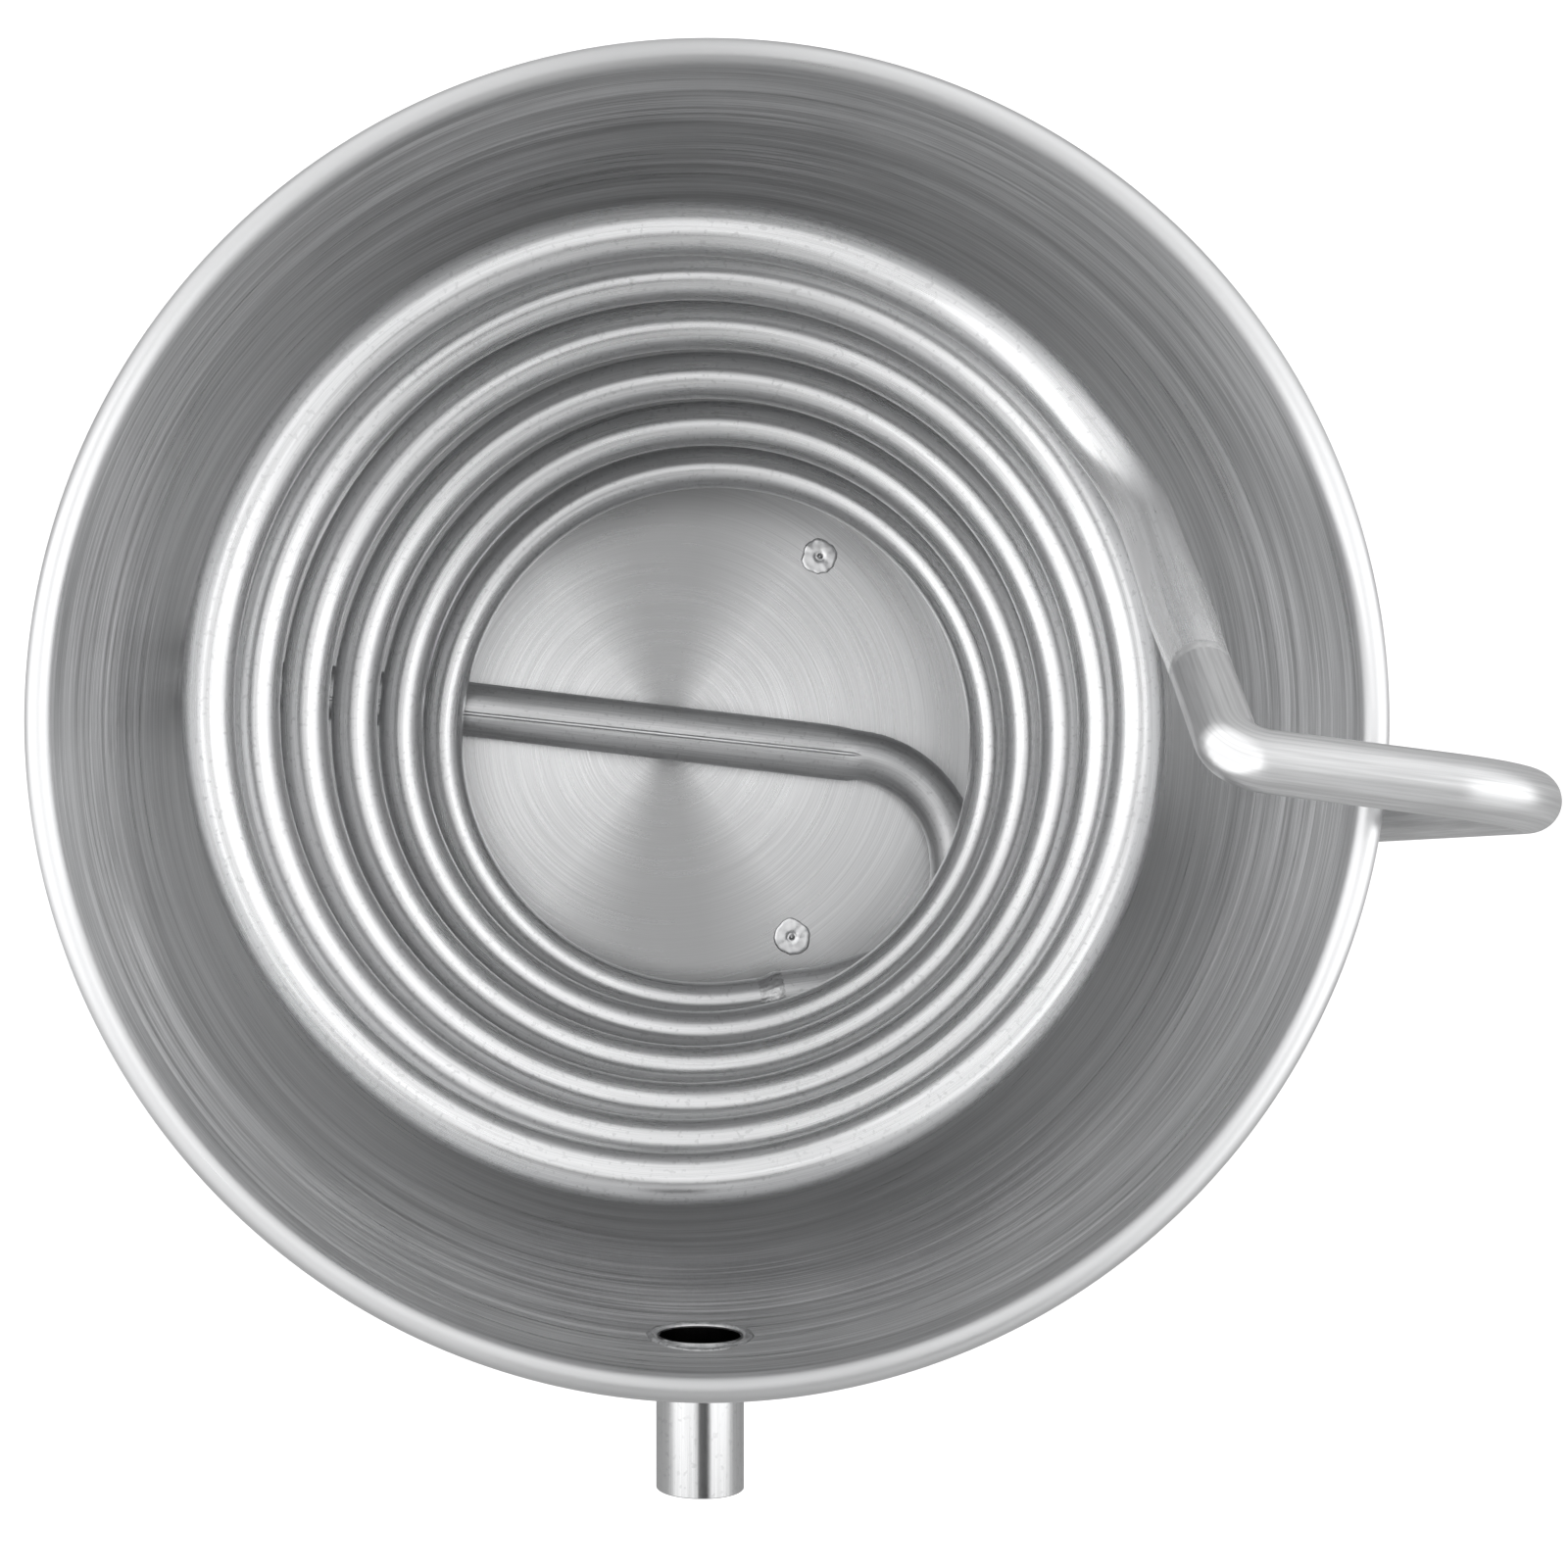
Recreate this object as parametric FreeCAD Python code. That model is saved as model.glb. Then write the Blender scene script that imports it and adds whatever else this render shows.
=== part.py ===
"""Wort chiller: a tapered steel bucket with a conical coil of tube fixed inside it.

Millimetres, +Z up. The origin is on the bucket's axis, in the plane that the feet stand on.
The overflow tube points along -Y, and the inlet gooseneck goes over the rim at +X.
"""

import FreeCAD, Part

import math
import os

from FreeCAD import Vector

# Bucket: drawn from one sheet, with its edge rolled outwards into a curl
RIM_RADIUS = 118.0
RIM_CURL_RADIUS = 2.45
RIM_CURL_END_DEG = -115.0
INNER_DEPTH = 200.0
WALL_TAPER_DEG = 3.0
SHEET = 0.8
FLOOR_CORNER_RADIUS = 6.0

# Feet, each held by a plug weld through the floor
FOOT_HEIGHT = 15.0
FOOT_DIAMETER = 18.0
FOOT_CHAMFER = 1.2
FEET_CIRCLE_RADIUS = 58.0
FOOT_AZIMUTHS_DEG = {"a": 49.9, "b": -58.3, "c": 175.8}
PLUG_HOLE_DIAMETER = 5.0
PLUG_WELD_DIAMETER = 8.7
PLUG_WELD_HEIGHT = 0.5
PLUG_PIP_DIAMETER = 1.8
PLUG_PIP_TOP_DIAMETER = 0.9
PLUG_PIP_HEIGHT = 0.7

# Coil: left-handed, wider at the top, with its axis leaning a little in the bucket
COIL_TUBE_DIAMETER = 10.0
COIL_TUBE_WALL = 1.0
COIL_TURNS = 5.59
COIL_START_AZIMUTH_DEG = -84.0
COIL_BOTTOM_RADIUS = 62.1
COIL_TOP_RADIUS = 90.3
COIL_BELLY = 2.8
COIL_BOTTOM_CENTRE = (9.6, -2.1)
COIL_TOP_CENTRE = (-3.4, 2.6)
COIL_BOTTOM_ABOVE_FLOOR = 15.5
COIL_TOP_BELOW_RIM = 38.2
ARCS_PER_TURN = 4
COIL_END_STRAIGHT = 10.0
COIL_SHOULDER_RUN = 23.3
COIL_SHOULDER_RADIUS = 71.0
COIL_UPTURN_AZIMUTH_DEG = -55.4
COIL_UPTURN_RUN = 37.6
COIL_UPTURN_RISE = 11.6
COIL_UPTURN_RADIUS = 31.3
COIL_RISER_STRAIGHT = 48.0

# Inlet gooseneck: rises from the coil, turns sharply and arches over the rim
ELBOW_OFFSET = (0.0, -48.9)
ELBOW_ABOVE_RIM = 46.7
ELBOW_RADIUS = 6.6
ARCH_ABOVE_RIM = 53.0
ARCH_SWING = 6.5
ARCH_END_RADIUS = 14.0
LEG_RIM_GAP = 4.2
LEG_SWING = 5.0
LEG_END_BELOW_RIM = 70.0

# Outlet tube: takes the coil's lower end, turns back and crosses the floor to the wall
OUTLET_DIAMETER = 12.0
SOCKET_DEPTH = 6.0
OUTLET_ABOVE_FLOOR = 9.0
OUTLET_ARM_AZIMUTH_DEG = 173.25
OUTLET_ARM_OFFSET = 0.8
UBEND_REACH = 46.4
UBEND_RADIUS = 26.2
UBEND_MIDDLE_RUN = 2.5
UBEND_MIDDLE_AZIMUTH_DEG = 96.0
ARM_KNEE_RUN = 5.5
ARM_KNEE_RADIUS = 24.0
OUTLET_END_RADIUS = 146.0

# Overflow tube, level, through the wall just under the rim
OVERFLOW_DIAMETER = 16.0
OVERFLOW_WALL = 0.6
OVERFLOW_BELOW_RIM = 27.5
OVERFLOW_END_RADIUS = 139.3
OVERFLOW_LIP_DIAMETER = 18.7
TUBE_STANDS_IN = 0.4

# Welds and clearances
HOLE_CLEARANCE = 0.1
SOCKET_CLEARANCE = 0.1
LIP_HEIGHT = 0.5
OVERFLOW_WELD_LEG = 2.4
OUTLET_WELD_LEG = 1.6
WALL_WELD_DEPTH = 3.0
WELD_FUSION = 0.25
JOINT_WELD_LENGTH = 2.6
JOINT_WELD_HEIGHT = 0.45
WALL_CUT_REACH = 12.0

# Steps of the turns' measured gap
GAP_POINTS_PER_TURN = 180

TAPER = math.radians(WALL_TAPER_DEG)
FLOOR_Z = FOOT_HEIGHT + SHEET
RIM_Z = FLOOR_Z + INNER_DEPTH
TUBE_RADIUS = COIL_TUBE_DIAMETER / 2
CURL_CENTRE_RADIUS = RIM_RADIUS - RIM_CURL_RADIUS
CURL_CENTRE_Z = RIM_Z - RIM_CURL_RADIUS
COIL_BOTTOM_Z = FLOOR_Z + COIL_BOTTOM_ABOVE_FLOOR
COIL_PITCH = (RIM_Z - COIL_TOP_BELOW_RIM - COIL_BOTTOM_Z) / COIL_TURNS
OUTLET_Z = FLOOR_Z + OUTLET_ABOVE_FLOOR
OUTLET_BORE_RADIUS = TUBE_RADIUS + SOCKET_CLEARANCE
OVERFLOW_Z = RIM_Z - OVERFLOW_BELOW_RIM


def polar(radius, azimuth_deg, z=0.0):
    """Point at a distance and an azimuth from the bucket's axis."""
    angle = math.radians(azimuth_deg)
    return Vector(radius * math.cos(angle), radius * math.sin(angle), z)


def unit(vector):
    """The vector's direction."""
    return Vector(vector) / vector.Length


def wall_radius(z, outset=0.0):
    """Radius of the wall's inner face at height z, or of a face that lies outset outside it."""
    touch_radius = CURL_CENTRE_RADIUS - RIM_CURL_RADIUS * math.cos(TAPER)
    touch_z = CURL_CENTRE_Z + RIM_CURL_RADIUS * math.sin(TAPER)
    return touch_radius - (touch_z - z) * math.tan(TAPER) + outset / math.cos(TAPER)


def arc_edge(start, corner, end):
    """Arc from start to end whose end tangents meet at corner, at equal distances."""
    middle = (start + end) / 2
    half_chord = (end - start).Length / 2
    half_turn = math.acos(min(1.0, half_chord / (corner - start).Length))
    apex = middle + unit(corner - middle) * half_chord * math.tan(half_turn / 2)
    return Part.Arc(start, apex, end).toShape()


def rounded_path(points, radii):
    """Edges of straight runs through points, with a tangent arc of each radius at each corner."""
    edges = []
    start = points[0]
    for before, corner, after, radius in zip(points, points[1:], points[2:], radii):
        arriving = unit(corner - before)
        leaving = unit(after - corner)
        turn = arriving.getAngle(leaving)
        tangent_length = radius * math.tan(turn / 2)
        arc_start = corner - arriving * tangent_length
        arc_end = corner + leaving * tangent_length
        edges.append(Part.LineSegment(start, arc_start).toShape())
        edges.append(arc_edge(arc_start, corner, arc_end))
        start = arc_end
    edges.append(Part.LineSegment(start, points[-1]).toShape())
    return edges


def sweep(edges, radius):
    """Round bar of one radius along a path of joined edges."""
    first = edges[0]
    start = first.valueAt(first.FirstParameter)
    direction = first.tangentAt(first.FirstParameter)
    section = Part.Wire([Part.makeCircle(radius, start, direction)])
    return Part.Wire(edges).makePipeShell([section], True, False)


def tube(edges, outer_radius, inner_radius):
    """Open-ended tube along a path of joined edges."""
    return sweep(edges, outer_radius).cut(sweep(edges, inner_radius))


def path_length(edges):
    """Length of a path of joined edges."""
    return sum(edge.Length for edge in edges)


def biarc(start, start_direction, end, end_direction):
    """Two tangent arcs from start to end with the given directions at both."""
    span = end - start
    both = start_direction + end_direction
    bend = 2 * (1 - start_direction.dot(end_direction))
    along = span.dot(both)
    reach = (math.sqrt(along**2 + bend * span.dot(span)) - along) / bend
    first_corner = start + start_direction * reach
    second_corner = end - end_direction * reach
    middle = (first_corner + second_corner) / 2
    return [arc_edge(start, first_corner, middle), arc_edge(middle, second_corner, end)]


def coil_point(turn):
    """Centre of the coil's tube after a number of turns up from its lower end.

    The radius grows evenly with the turns, and swells by the belly at two thirds of the way.
    """
    share = turn / COIL_TURNS
    belly = COIL_BELLY * share**2 * (1 - share) * 27 / 4
    radius = COIL_BOTTOM_RADIUS + (COIL_TOP_RADIUS - COIL_BOTTOM_RADIUS) * share + belly
    centre_x = COIL_BOTTOM_CENTRE[0] + (COIL_TOP_CENTRE[0] - COIL_BOTTOM_CENTRE[0]) * share
    centre_y = COIL_BOTTOM_CENTRE[1] + (COIL_TOP_CENTRE[1] - COIL_BOTTOM_CENTRE[1]) * share
    spoke = polar(radius, COIL_START_AZIMUTH_DEG - 360 * turn)
    return spoke + Vector(centre_x, centre_y, COIL_BOTTOM_Z + COIL_PITCH * turn)


def coil_direction(turn, step=0.001):
    """Direction of the coil's tube after a number of turns, going up."""
    return unit(coil_point(turn + step) - coil_point(turn - step))


def coil_edges():
    """The coil's turns as biarcs, without its straight ends."""
    stations = [index / ARCS_PER_TURN for index in range(int(COIL_TURNS * ARCS_PER_TURN) + 1)]
    if COIL_TURNS - stations[-1] > 0.5 / ARCS_PER_TURN:
        stations.append(COIL_TURNS)
    else:
        stations[-1] = COIL_TURNS
    edges = []
    for low, high in zip(stations, stations[1:]):
        low_end = coil_point(low), coil_direction(low)
        high_end = coil_point(high), coil_direction(high)
        edges += biarc(*low_end, *high_end)
    return edges


# Places on the tubes' centre lines, and the two tubes through the wall as (point, direction)
COIL_LOW_DIRECTION = coil_direction(0)
OUTLET_JOINT = coil_point(0) - COIL_LOW_DIRECTION * COIL_END_STRAIGHT
COIL_SOCKET_END = OUTLET_JOINT - COIL_LOW_DIRECTION * SOCKET_DEPTH
COIL_SHOULDER = coil_point(COIL_TURNS) + coil_direction(COIL_TURNS) * COIL_SHOULDER_RUN
RISER_FOOT = COIL_SHOULDER + polar(COIL_UPTURN_RUN, COIL_UPTURN_AZIMUTH_DEG, COIL_UPTURN_RISE)
ELBOW = Vector(
    RISER_FOOT.x + ELBOW_OFFSET[0], RISER_FOOT.y + ELBOW_OFFSET[1], RIM_Z + ELBOW_ABOVE_RIM
)
RISER_DIRECTION = unit(ELBOW - RISER_FOOT)
UPTURN_TURN = (RISER_FOOT - COIL_SHOULDER).getAngle(RISER_DIRECTION)
UPTURN_LENGTH = COIL_UPTURN_RADIUS * math.tan(UPTURN_TURN / 2)
INLET_JOINT = RISER_FOOT + RISER_DIRECTION * (UPTURN_LENGTH + COIL_RISER_STRAIGHT)
ARCH_CORNER = Vector(
    RIM_RADIUS + LEG_RIM_GAP + TUBE_RADIUS, ELBOW.y - ARCH_SWING, RIM_Z + ARCH_ABOVE_RIM
)
LEG_END = Vector(ARCH_CORNER.x, ARCH_CORNER.y - LEG_SWING, RIM_Z - LEG_END_BELOW_RIM)
ARM_DIRECTION = polar(1.0, OUTLET_ARM_AZIMUTH_DEG)
ARM_SIDE = polar(1.0, OUTLET_ARM_AZIMUTH_DEG - 90)
OUTLET_LINE = (ARM_SIDE * OUTLET_ARM_OFFSET + Vector(0, 0, OUTLET_Z), ARM_DIRECTION)
OUTLET_END = OUTLET_LINE[0] + ARM_DIRECTION * OUTLET_END_RADIUS
OVERFLOW_LINE = (Vector(0, 0, OVERFLOW_Z), Vector(0, -1, 0))


def coil_path():
    """Centre line of the whole coil tube, from its socketed end up its riser to the inlet weld."""
    lower = Part.LineSegment(COIL_SOCKET_END, coil_point(0)).toShape()
    upper = rounded_path(
        [coil_point(COIL_TURNS), COIL_SHOULDER, RISER_FOOT, INLET_JOINT],
        [COIL_SHOULDER_RADIUS, COIL_UPTURN_RADIUS],
    )
    return [lower] + coil_edges() + upper


def gooseneck_path():
    """Centre line of the inlet gooseneck, from its weld to its open end."""
    corners = [INLET_JOINT, ELBOW, ARCH_CORNER, LEG_END]
    return rounded_path(corners, [ELBOW_RADIUS, ARCH_END_RADIUS])


def outlet_path():
    """Centre line of the outlet tube, from its socket to its open end outside the wall."""
    knee = OUTLET_JOINT - COIL_LOW_DIRECTION * (SOCKET_DEPTH + ARM_KNEE_RUN)
    bend_end = -ARM_DIRECTION * UBEND_REACH + ARM_SIDE * OUTLET_ARM_OFFSET
    middle_direction = polar(1.0, UBEND_MIDDLE_AZIMUTH_DEG)
    half_turn = math.radians(OUTLET_ARM_AZIMUTH_DEG - UBEND_MIDDLE_AZIMUTH_DEG) / 2
    corner_reach = UBEND_RADIUS * math.tan(half_turn)
    upper_corner = bend_end - ARM_DIRECTION * corner_reach + Vector(0, 0, OUTLET_Z)
    lower_corner = upper_corner - middle_direction * (2 * corner_reach + UBEND_MIDDLE_RUN)
    corners = [OUTLET_JOINT, knee, lower_corner, upper_corner, OUTLET_END]
    return rounded_path(corners, [ARM_KNEE_RADIUS, UBEND_RADIUS, UBEND_RADIUS])


def revolve_profile(edges):
    """Solid of revolution about the bucket's axis of a closed outline in the XZ plane."""
    face = Part.Face(Part.Wire(Part.__sortEdges__(edges)))
    return face.revolve(Vector(0, 0, 0), Vector(0, 0, 1), 360)


def line_xz(start, end):
    """Straight edge in the XZ plane between two (x, z) points."""
    return Part.LineSegment(Vector(start[0], 0, start[1]), Vector(end[0], 0, end[1])).toShape()


def arc_xz(centre, radius, start_deg, end_deg):
    """Arc in the XZ plane, by the angles of its ends from +X towards +Z."""
    def place(angle_deg):
        angle = math.radians(angle_deg)
        offset = Vector(radius * math.cos(angle), 0, radius * math.sin(angle))
        return Vector(centre[0], 0, centre[1]) + offset

    return Part.Arc(place(start_deg), place((start_deg + end_deg) / 2), place(end_deg)).toShape()


def end_of(edge, last=True):
    """A profile edge's last or first point as (x, z)."""
    vertex = edge.Vertexes[-1 if last else 0].Point
    return vertex.x, vertex.z


def wall_outline(outset):
    """Profile of the wall's inner face, or of one that lies outset outside it, axis to rim."""
    corner_z = FLOOR_Z + FLOOR_CORNER_RADIUS
    corner_centre = (
        wall_radius(corner_z) - FLOOR_CORNER_RADIUS / math.cos(TAPER),
        corner_z,
    )
    corner = arc_xz(corner_centre, FLOOR_CORNER_RADIUS + outset, -90, -WALL_TAPER_DEG)
    floor = line_xz((0, FLOOR_Z - outset), end_of(corner, False))
    return floor, corner


def bucket_shell():
    """The drawn bucket: floor, rounded corner, tapered wall and rolled rim in one sheet."""
    floor_inside, corner_inside = wall_outline(0)
    floor_outside, corner_outside = wall_outline(SHEET)
    curl_centre = (CURL_CENTRE_RADIUS, CURL_CENTRE_Z)
    curl_ends = (180 - WALL_TAPER_DEG, RIM_CURL_END_DEG)
    curl_outside = arc_xz(curl_centre, RIM_CURL_RADIUS, *curl_ends)
    curl_inside = arc_xz(curl_centre, RIM_CURL_RADIUS - SHEET, *curl_ends)
    outline = [
        floor_inside,
        corner_inside,
        line_xz(end_of(corner_inside), end_of(curl_outside, False)),
        curl_outside,
        line_xz(end_of(curl_outside), end_of(curl_inside)),
        curl_inside,
        line_xz(end_of(curl_inside, False), end_of(corner_outside)),
        corner_outside,
        floor_outside,
        line_xz((0, FLOOR_Z - SHEET), (0, FLOOR_Z)),
    ]
    cutters = [
        bar_through_wall(OVERFLOW_LINE, OVERFLOW_DIAMETER / 2 + HOLE_CLEARANCE),
        bar_through_wall(OUTLET_LINE, OUTLET_DIAMETER / 2 + HOLE_CLEARANCE),
    ]
    for azimuth in FOOT_AZIMUTHS_DEG.values():
        place = polar(FEET_CIRCLE_RADIUS, azimuth)
        cutters.append(Part.makeCylinder(PLUG_HOLE_DIAMETER / 2, RIM_Z, place))
    return revolve_profile(outline).cut(cutters)


def bar_through_wall(line, radius):
    """Bar of one radius along a tube's line, through the wall only."""
    point, direction = line
    start = point + direction * (wall_radius(point.z) - WALL_CUT_REACH)
    return Part.makeCylinder(radius, 2 * WALL_CUT_REACH, start, direction)


def wall_solid(outset):
    """Solid inside the face that lies outset outside the wall's inner face, floor to rim."""
    floor, corner = wall_outline(outset)
    top = (wall_radius(RIM_Z, outset), RIM_Z)
    outline = [
        floor,
        corner,
        line_xz(end_of(corner), top),
        line_xz(top, (0, RIM_Z)),
        line_xz((0, RIM_Z), (0, FLOOR_Z - outset)),
    ]
    return revolve_profile(outline)


def fused_zone(line, tube_radius, leg):
    """Thin ring that a tube's outer weld takes out of the tube just outside the wall."""
    point, direction = line
    start = point + direction * wall_radius(point.z, SHEET)
    ring = Part.makeCylinder(tube_radius + leg, leg, start, direction)
    return ring.cut(Part.makeCylinder(tube_radius - WELD_FUSION, leg, start, direction))


def overflow_tube():
    """Level tube whose inner end stands a little proud of the wall's inner face."""
    point, direction = OVERFLOW_LINE
    radius = OVERFLOW_DIAMETER / 2
    start = point + direction * (wall_radius(OVERFLOW_Z) - WALL_CUT_REACH)
    length = (point + direction * OVERFLOW_END_RADIUS - start).Length
    outer = Part.makeCylinder(radius, length, start, direction)
    inner = Part.makeCylinder(radius - OVERFLOW_WALL, length, start, direction)
    weld = fused_zone(OVERFLOW_LINE, radius, OVERFLOW_WELD_LEG)
    return outer.cut([inner, wall_solid(-TUBE_STANDS_IN), weld])


def outlet_tube():
    """Tube from the coil's socket to its open end outside the wall."""
    radius = OUTLET_DIAMETER / 2
    weld = fused_zone(OUTLET_LINE, radius, OUTLET_WELD_LEG)
    return tube(outlet_path(), radius, OUTLET_BORE_RADIUS).cut(weld)


def inner_wall_weld(line, tube_radius, weld_radius):
    """Flat lip of weld round a tube on the wall's inner face."""
    ring = bar_through_wall(line, weld_radius).cut(bar_through_wall(line, tube_radius))
    return ring.common(wall_solid(0)).cut(wall_solid(-LIP_HEIGHT))


def outer_wall_weld(line, tube_radius, leg, tube_solid):
    """Fillet of weld round a tube on the wall's outer face, fused into the tube."""
    point, direction = line
    on_wall = point + direction * wall_radius(point.z, SHEET)
    root = Part.makeCylinder(
        tube_radius + leg, WALL_WELD_DEPTH, on_wall - direction * WALL_WELD_DEPTH, direction
    )
    slope = Part.makeCone(tube_radius + leg, tube_radius, leg, on_wall, direction)
    core = bar_through_wall(line, tube_radius - WELD_FUSION)
    return root.fuse(slope).cut([core, wall_solid(SHEET), tube_solid])


def ring_weld(place, direction, radius):
    """Low rounded bead round a joint between two tubes in line."""
    along = unit(direction)
    half = JOINT_WELD_LENGTH / 2
    side = unit(along.cross(Vector(0, 0, 1)))
    inner_start = place - along * half + side * radius
    inner_end = place + along * half + side * radius
    crown = place + side * (radius + JOINT_WELD_HEIGHT)
    section = Part.Wire(
        [
            Part.LineSegment(inner_start, inner_end).toShape(),
            Part.Arc(inner_end, crown, inner_start).toShape(),
        ]
    )
    return Part.Face(section).revolve(place, along, 360)


def socket_weld():
    """Sloped bead from the coil tube up to the mouth of the outlet tube's socket."""
    direction = COIL_LOW_DIRECTION
    bead = Part.makeCone(
        OUTLET_DIAMETER / 2, TUBE_RADIUS + JOINT_WELD_HEIGHT, JOINT_WELD_LENGTH,
        OUTLET_JOINT, direction,
    )
    bore = Part.makeCylinder(TUBE_RADIUS, JOINT_WELD_LENGTH, OUTLET_JOINT, direction)
    return bead.cut(bore)


def foot(azimuth_deg):
    """Round foot with a chamfered lower edge, its top on the floor's underside."""
    place = polar(FEET_CIRCLE_RADIUS, azimuth_deg)
    radius = FOOT_DIAMETER / 2
    body = Part.makeCylinder(radius, FOOT_HEIGHT - FOOT_CHAMFER, place + Vector(0, 0, FOOT_CHAMFER))
    edge = Part.makeCone(radius - FOOT_CHAMFER, radius, FOOT_CHAMFER, place)
    return body.fuse(edge).removeSplitter()


def plug_weld(azimuth_deg):
    """Button of weld on the floor with a pip in the middle and a shank down to the foot."""
    place = polar(FEET_CIRCLE_RADIUS, azimuth_deg)
    shank_radius = PLUG_HOLE_DIAMETER / 2 - HOLE_CLEARANCE
    shank = Part.makeCylinder(shank_radius, SHEET, place + Vector(0, 0, FOOT_HEIGHT))
    radius = PLUG_WELD_DIAMETER / 2
    on_floor = place + Vector(0, 0, FLOOR_Z)
    button = Part.makeCone(radius, radius - PLUG_WELD_HEIGHT, PLUG_WELD_HEIGHT, on_floor)
    pip = Part.makeCone(
        PLUG_PIP_DIAMETER / 2, PLUG_PIP_TOP_DIAMETER / 2, PLUG_PIP_HEIGHT,
        on_floor + Vector(0, 0, PLUG_WELD_HEIGHT),
    )
    return button.fuse([shank, pip])


def least_gap_in_coil():
    """Least distance between the coil's own turns, measured on points of its centre line."""
    count = int(COIL_TURNS * GAP_POINTS_PER_TURN)
    points = [coil_point(index / GAP_POINTS_PER_TURN) for index in range(count + 1)]
    least = min(
        (points[low] - points[high]).Length
        for low in range(count)
        for high in range(low + GAP_POINTS_PER_TURN // 2, count + 1)
    )
    return least - COIL_TUBE_DIAMETER


def build():
    """All sub-parts by name."""
    bore_radius = TUBE_RADIUS - COIL_TUBE_WALL
    overflow_radius = OVERFLOW_DIAMETER / 2
    outlet_radius = OUTLET_DIAMETER / 2
    outlet = outlet_tube()
    overflow = overflow_tube()
    parts = {
        "bucket_shell": bucket_shell(),
        "coil_tube": tube(coil_path(), TUBE_RADIUS, bore_radius),
        "inlet_gooseneck": tube(gooseneck_path(), TUBE_RADIUS, bore_radius),
        "inlet_joint_weld": ring_weld(INLET_JOINT, RISER_DIRECTION, TUBE_RADIUS),
        "outlet_tube": outlet,
        "outlet_joint_weld": socket_weld(),
        "outlet_weld_inner": inner_wall_weld(
            OUTLET_LINE, outlet_radius, outlet_radius + OUTLET_WELD_LEG
        ),
        "outlet_weld_outer": outer_wall_weld(
            OUTLET_LINE, outlet_radius, OUTLET_WELD_LEG, outlet
        ),
        "overflow_tube": overflow,
        "overflow_weld_inner": inner_wall_weld(
            OVERFLOW_LINE, overflow_radius, OVERFLOW_LIP_DIAMETER / 2
        ),
        "overflow_weld_outer": outer_wall_weld(
            OVERFLOW_LINE, overflow_radius, OVERFLOW_WELD_LEG, overflow
        ),
    }
    for letter, azimuth in FOOT_AZIMUTHS_DEG.items():
        parts[f"plug_weld_{letter}"] = plug_weld(azimuth)
        parts[f"foot_{letter}"] = foot(azimuth)
    return parts


def print_tube(name, shape, edges, outer_radius, inner_radius):
    """Compare a tube's volume with its section times its length, and give its tightest arc."""
    section = math.pi * (outer_radius**2 - inner_radius**2)
    length = path_length(edges)
    arcs = [edge.Curve.Radius for edge in edges if hasattr(edge.Curve, "Radius")]
    print(
        f"{name}: {length:.1f} mm long, volume {shape.Volume:.0f} against "
        f"{section * length:.0f}, tightest arc {min(arcs):.1f} mm"
    )


def main():
    os.makedirs("parts", exist_ok=True)
    parts = build()
    for name, shape in parts.items():
        shape.exportStep(f"parts/{name}.step")
        print(f"{name}: {len(shape.Solids)} solid, valid {shape.isValid()}, {shape.Volume:.1f} mm3")
    bore_radius = TUBE_RADIUS - COIL_TUBE_WALL
    print_tube("coil_tube", parts["coil_tube"], coil_path(), TUBE_RADIUS, bore_radius)
    print_tube(
        "inlet_gooseneck", parts["inlet_gooseneck"], gooseneck_path(), TUBE_RADIUS, bore_radius
    )
    print_tube(
        "outlet_tube", parts["outlet_tube"], outlet_path(), OUTLET_DIAMETER / 2, OUTLET_BORE_RADIUS
    )
    print(f"least gap between the coil's turns: {least_gap_in_coil():.2f} mm")


main()
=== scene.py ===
"""Looks of a wort chiller: a brushed steel bucket with a conical coil of polished tube in it.

Metres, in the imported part's own frame: +Z up, -Y along the overflow tube, and the origin on the
bucket's axis, in the plane that the feet stand on.
"""

import logging
import math
from dataclasses import dataclass
from enum import Enum
from typing import Callable, Sequence

import bmesh
import bpy
from mathutils import Matrix, Vector, noise


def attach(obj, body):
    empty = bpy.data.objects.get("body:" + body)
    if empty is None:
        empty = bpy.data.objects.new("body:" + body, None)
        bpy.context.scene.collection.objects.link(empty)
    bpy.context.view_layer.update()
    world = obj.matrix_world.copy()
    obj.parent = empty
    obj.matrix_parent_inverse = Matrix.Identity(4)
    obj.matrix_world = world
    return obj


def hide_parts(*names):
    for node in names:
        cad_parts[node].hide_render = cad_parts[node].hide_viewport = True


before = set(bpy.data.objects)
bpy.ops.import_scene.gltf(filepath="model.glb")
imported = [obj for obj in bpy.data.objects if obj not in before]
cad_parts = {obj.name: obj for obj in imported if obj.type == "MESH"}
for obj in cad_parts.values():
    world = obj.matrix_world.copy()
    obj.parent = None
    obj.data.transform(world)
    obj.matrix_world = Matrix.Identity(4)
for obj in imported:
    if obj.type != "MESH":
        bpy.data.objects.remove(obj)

log = logging.getLogger("wort_chiller")

Socket = bpy.types.NodeSocket
Piece = bpy.types.Object
Material = bpy.types.Material
NodeTree = bpy.types.NodeTree
BMesh = bmesh.types.BMesh
Node = bpy.types.Node
Pair = tuple[float, float]

MM = 0.001
UP = Vector((0, 0, 1))
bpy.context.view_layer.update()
BODY = "root"
UV_NAME = "UVMap"
ACROSS = 0.25  # quarter turn: the tangent follows the brushing, and light spreads across it


class Slot(Enum):
    """Material slots of the record, one passed with each new piece, which nothing reads."""

    BUCKET = "bucket_brushed"
    COIL = "coil_polished"
    GOOSENECK = "gooseneck_satin"
    OUTLET = "outlet_seamed"
    OVERFLOW = "overflow_satin"
    WELD = "weld_bead"
    FEET = "feet_turned"


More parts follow.
